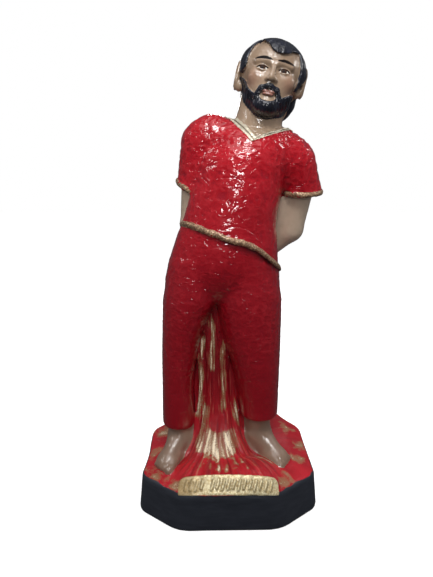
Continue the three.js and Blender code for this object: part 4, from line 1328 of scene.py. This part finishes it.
def black_gloss_enamel(tree, place, marks):
    """Blue-black gloss enamel on the hair and beard. Its fine wrinkles catch the light."""
    patches = add(tree, "ShaderNodeTexNoise", {"Vector": place, "Scale": MILLIMETRES / 5, "Detail": 2})
    worms = {"Vector": place, "Scale": MILLIMETRES / 2, "Detail": 1, "Distortion": 1.4}
    wrinkles = add(tree, "ShaderNodeTexNoise", worms)
    colour = covered(tree, srgb("14151c"), srgb("20222e"), patches, 0.35, 0.65)
    return colour, 0.4, [(wrinkles, 0.26)]


def brown_black_enamel(tree, place, marks):
    """Thin brown-black enamel for brows, lashes and pupils, with a brown ring round each pupil."""
    thin = add(tree, "ShaderNodeTexNoise", {"Vector": place, "Scale": MILLIMETRES / 2, "Detail": 2})
    colour = covered(tree, srgb("0e0a0a"), srgb("1c1412"), thin, 0.4, 0.7)
    colour = covered(tree, colour, srgb("3e2a20"), marks["iris"], 0.2, 0.9)
    return colour, 0.5, [(thin, 0.04)]


def white_enamel(tree, place, marks):
    """Warm white enamel for the whites of the eyes."""
    thin = add(tree, "ShaderNodeTexNoise", {"Vector": place, "Scale": MILLIMETRES / 2, "Detail": 2})
    # Painted shade where the eye sits deep under the lids.
    colour = covered(tree, srgb("d9d2c6"), srgb("8f8276"), marks["hollow"], 0.3, 0.9)
    return colour, 0.22, [(thin, 0.03)]


def rose_enamel(tree, place, marks):
    """Dull rose enamel for the lips, brushed thinly so that the flesh colour shows through."""
    thin = add(tree, "ShaderNodeTexNoise", {"Vector": place, "Scale": MILLIMETRES / 1.5, "Detail": 2})
    colour = covered(tree, srgb("9c6a5c"), srgb("a87a6c"), thin, 0.3, 0.7)
    # Painted shade where the lips sit deep, between them and under the moustache.
    colour = covered(tree, colour, srgb("4c2c26"), marks["hollow"], 0.4, 0.9)
    return colour, 0.3, [(thin, 0.06)]


def bronze_paint(tree, place, marks):
    """Bronze powder in varnish, with bright flakes: dull gold on the hem and sleeves, paler at the neck."""
    flakes = add(tree, "ShaderNodeTexNoise", {"Vector": place, "Scale": MILLIMETRES / 1.1, "Detail": 4})
    height = add(tree, "ShaderNodeSeparateXYZ", {"Vector": place}).node.outputs["Z"]
    colour = covered(tree, srgb("84644e"), srgb("dcba92"), flakes, 0.44, 0.68)
    colour = covered(tree, colour, srgb("d2c8b2"), height, 234 * MM, 240 * MM)
    # Painted shade in the folds, such as under the hem cord.
    colour = covered(tree, colour, srgb("5a4232"), marks["hollow"], 0.5, 1.1)
    colour = covered(tree, colour, srgb("5e4e3a"), marks["groove"], 0.4, 0.9)
    return colour, 0.42, [(flakes, 0.12)]


def label_bronze(tree, place, marks):
    """Pale bronze powder on the label, browner at its left end, with painted shade round the raised strokes.
    """
    flakes = add(tree, "ShaderNodeTexNoise", {"Vector": place, "Scale": MILLIMETRES / 1.1, "Detail": 4})
    x = add(tree, "ShaderNodeSeparateXYZ", {"Vector": place}).node.outputs["X"]
    colour = covered(tree, srgb("d8c08a"), srgb("fff2c8"), flakes, 0.38, 0.6)
    colour = covered(tree, srgb("c09c66"), colour, x, -36 * MM, -12 * MM)
    # Painted shade at the foot of each raised stroke.
    colour = covered(tree, colour, srgb("8c7040"), marks["groove"], 0.1, 1.3)
    # Painted shade in the hollows.
    colour = covered(tree, colour, srgb("94784a"), marks["hollow"], 0.25, 0.9)
    return colour, 0.42, [(flakes, 0.15)]


def satin_black_enamel(tree, place, marks):
    """Satin black enamel on the band of the base, unvarnished, with faint brush marks along the sides."""
    level = add(tree, "ShaderNodeMapping", {"Vector": place, "Scale": (1, 1, 6)})
    strokes = add(tree, "ShaderNodeTexNoise", {"Vector": level, "Scale": MILLIMETRES / 9, "Detail": 4})
    colour = covered(tree, srgb("2a2d35"), srgb("34373f"), strokes, 0.35, 0.7)
    return colour, 0.42, [(strokes, 0.04)]


BRONZE = {"Metallic": 0.35, "Coat Weight": 0.3, "Coat Roughness": 0.12}
FINISHES = {
    red_gloss_enamel: VARNISH,
    brushed_red_enamel: VARNISH,
    flesh_enamel: {**VARNISH, "Coat IOR": 1.9},
    satin_black_enamel: {"Specular IOR Level": 0.7},
    bronze_paint: BRONZE,
    label_bronze: BRONZE,
    black_gloss_enamel: {**VARNISH, "Coat Weight": 0.6, "Coat IOR": 1.9},
    white_enamel: VARNISH,
    rose_enamel: VARNISH,
    brown_black_enamel: {"Specular IOR Level": 0.1},
}

mesh = make_statue()
for mix_paint, finish in FINISHES.items():
    mesh.materials.append(painted(mix_paint.__name__, mix_paint, finish))
statue = bpy.data.objects.new("painted_statue", mesh)
bpy.context.scene.collection.objects.link(statue)
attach(statue, "root")
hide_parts("painted_plaster_statue")

# Camera, floor and light

SENSOR = 36
FOCAL_PIXELS, PHOTO_HEIGHT = 444, 577
CAMERA_PLACE = (-8, -293, 202)
CAMERA_DROP = 11
FLOOR_RADIUS, FLOOR_SIDES = 9, 96
FLOOR_GLOW = (0.75, 0.95)
ROOM_LIGHT = {"From Min": -0.6, "From Max": 1, "To Min": 0.05, "To Max": 0.15}


def look(place, target):
    return (Vector(target) - Vector(place)).to_track_quat("-Z", "Y")


def add_camera():
    data = bpy.data.cameras.new("camera")
    data.sensor_width = SENSOR
    data.lens = SENSOR * FOCAL_PIXELS / PHOTO_HEIGHT
    data.clip_start, data.clip_end = 0.01, 50
    camera = bpy.data.objects.new("camera", data)
    camera.location = Vector(CAMERA_PLACE) * MM
    camera.rotation_euler = (math.radians(90 - CAMERA_DROP), 0, 0)
    bpy.context.scene.collection.objects.link(camera)
    bpy.context.scene.camera = camera


def add_floor():
    """A round sheet of pale paper. It glows a little more the further out it is, so that it has no edge."""
    material = bpy.data.materials.new("pale_paper")
    tree = emptied_tree(material)
    place = tree.nodes.new("ShaderNodeTexCoord").outputs["Object"]
    away = add(tree, "ShaderNodeVectorMath", {0: place}, operation="LENGTH").node.outputs["Value"]
    near = {"From Min": 0.1, "From Max": 0.7, "To Min": FLOOR_GLOW[0], "To Max": FLOOR_GLOW[1]}
    glow = add(tree, "ShaderNodeMapRange", {"Value": away, **near})
    paper = {
        "Base Color": srgb("e8e7e5"),
        "Roughness": 0.9,
        "Emission Color": srgb("ffffff"),
        "Emission Strength": glow,
    }
    shader = add(tree, "ShaderNodeBsdfPrincipled", paper)
    add(tree, "ShaderNodeOutputMaterial", {"Surface": shader})
    turns = [2 * math.pi * n / FLOOR_SIDES for n in range(FLOOR_SIDES)]
    data = bpy.data.meshes.new("floor")
    rim = [(FLOOR_RADIUS * math.cos(t), FLOOR_RADIUS * math.sin(t), 0) for t in turns]
    data.from_pydata(rim, [], [list(range(FLOOR_SIDES))])
    data.materials.append(material)
    floor = bpy.data.objects.new("floor", data)
    bpy.context.scene.collection.objects.link(floor)
    floor.visible_diffuse = False
    floor.visible_glossy = False


def add_softbox(name, place, target, size, watts, mirrored=True):
    """A lamp behind a white sheet. One that isn't mirrored in the varnish lays no veil on the red."""
    data = bpy.data.lights.new(name, "AREA")
    data.shape = "RECTANGLE"
    data.size, data.size_y = size
    data.energy = watts
    light = bpy.data.objects.new(name, data)
    light.visible_glossy = mirrored
    light.location = place
    light.rotation_mode = "QUATERNION"
    light.rotation_quaternion = look(place, target)
    light.visible_camera = False
    bpy.context.scene.collection.objects.link(light)


def add_room_light():
    """Soft light from all round, dimmer than the white that the camera sees behind the statue."""
    world = bpy.data.worlds.new("studio")
    bpy.context.scene.world = world
    tree = emptied_tree(world)
    seen = tree.nodes.new("ShaderNodeLightPath").outputs["Is Camera Ray"]
    place = tree.nodes.new("ShaderNodeTexCoord").outputs["Generated"]
    height = add(tree, "ShaderNodeSeparateXYZ", {"Vector": place}).node.outputs["Z"]
    strength = add(tree, "ShaderNodeMapRange", {"Value": height, **ROOM_LIGHT})
    soft = add(tree, "ShaderNodeBackground", {"Color": srgb("f0f4ff"), "Strength": strength})
    white = add(tree, "ShaderNodeBackground", {"Color": srgb("ffffff"), "Strength": 1.0})
    both = add(tree, "ShaderNodeMixShader", {0: seen, 1: soft, 2: white})
    add(tree, "ShaderNodeOutputWorld", {"Surface": both})


add_camera()
add_floor()
add_room_light()
# Each lamp's place, the place that it faces, its width and height in metres, and its watts
add_softbox("key", (0.01, -0.22, 0.43), (0.015, -0.02, 0.22), (0.1, 0.08), 0.47)
add_softbox("top", (0, -0.2, 0.75), (0, -0.03, 0.05), (0.5, 0.5), 0.9)
add_softbox("flash", (-0.01, -0.32, 0.27), (0.01, -0.02, 0.24), (0.045, 0.045), 0.17)
add_softbox("upper glint", (0.01, -0.12, 0.5), (0.02, -0.02, 0.28), (0.035, 0.035), 0.07)
add_softbox("left glint", (-0.3, -0.05, 0.42), (0, 0, 0.2), (0.05, 0.05), 0.1)
add_softbox("right glint", (0.32, 0.05, 0.42), (0, 0, 0.2), (0.05, 0.05), 0.1)
add_softbox("back glint", (0, 0.32, 0.36), (0, 0, 0.2), (0.06, 0.06), 0.12)
add_softbox("left fill", (-0.6, -0.2, 0.4), (0, 0, 0.15), (0.8, 0.8), 1.1, mirrored=False)
add_softbox("right fill", (0.6, -0.15, 0.35), (0, 0, 0.15), (0.8, 0.8), 1.2, mirrored=False)
add_softbox("front fill", (-0.15, -0.6, 0.6), (0, 0, 0.15), (0.4, 0.4), 0.65, mirrored=False)
add_softbox("back fill", (0.15, 0.6, 0.5), (0, 0, 0.15), (0.5, 0.5), 2, mirrored=False)
bpy.context.scene.view_settings.view_transform = "Standard"
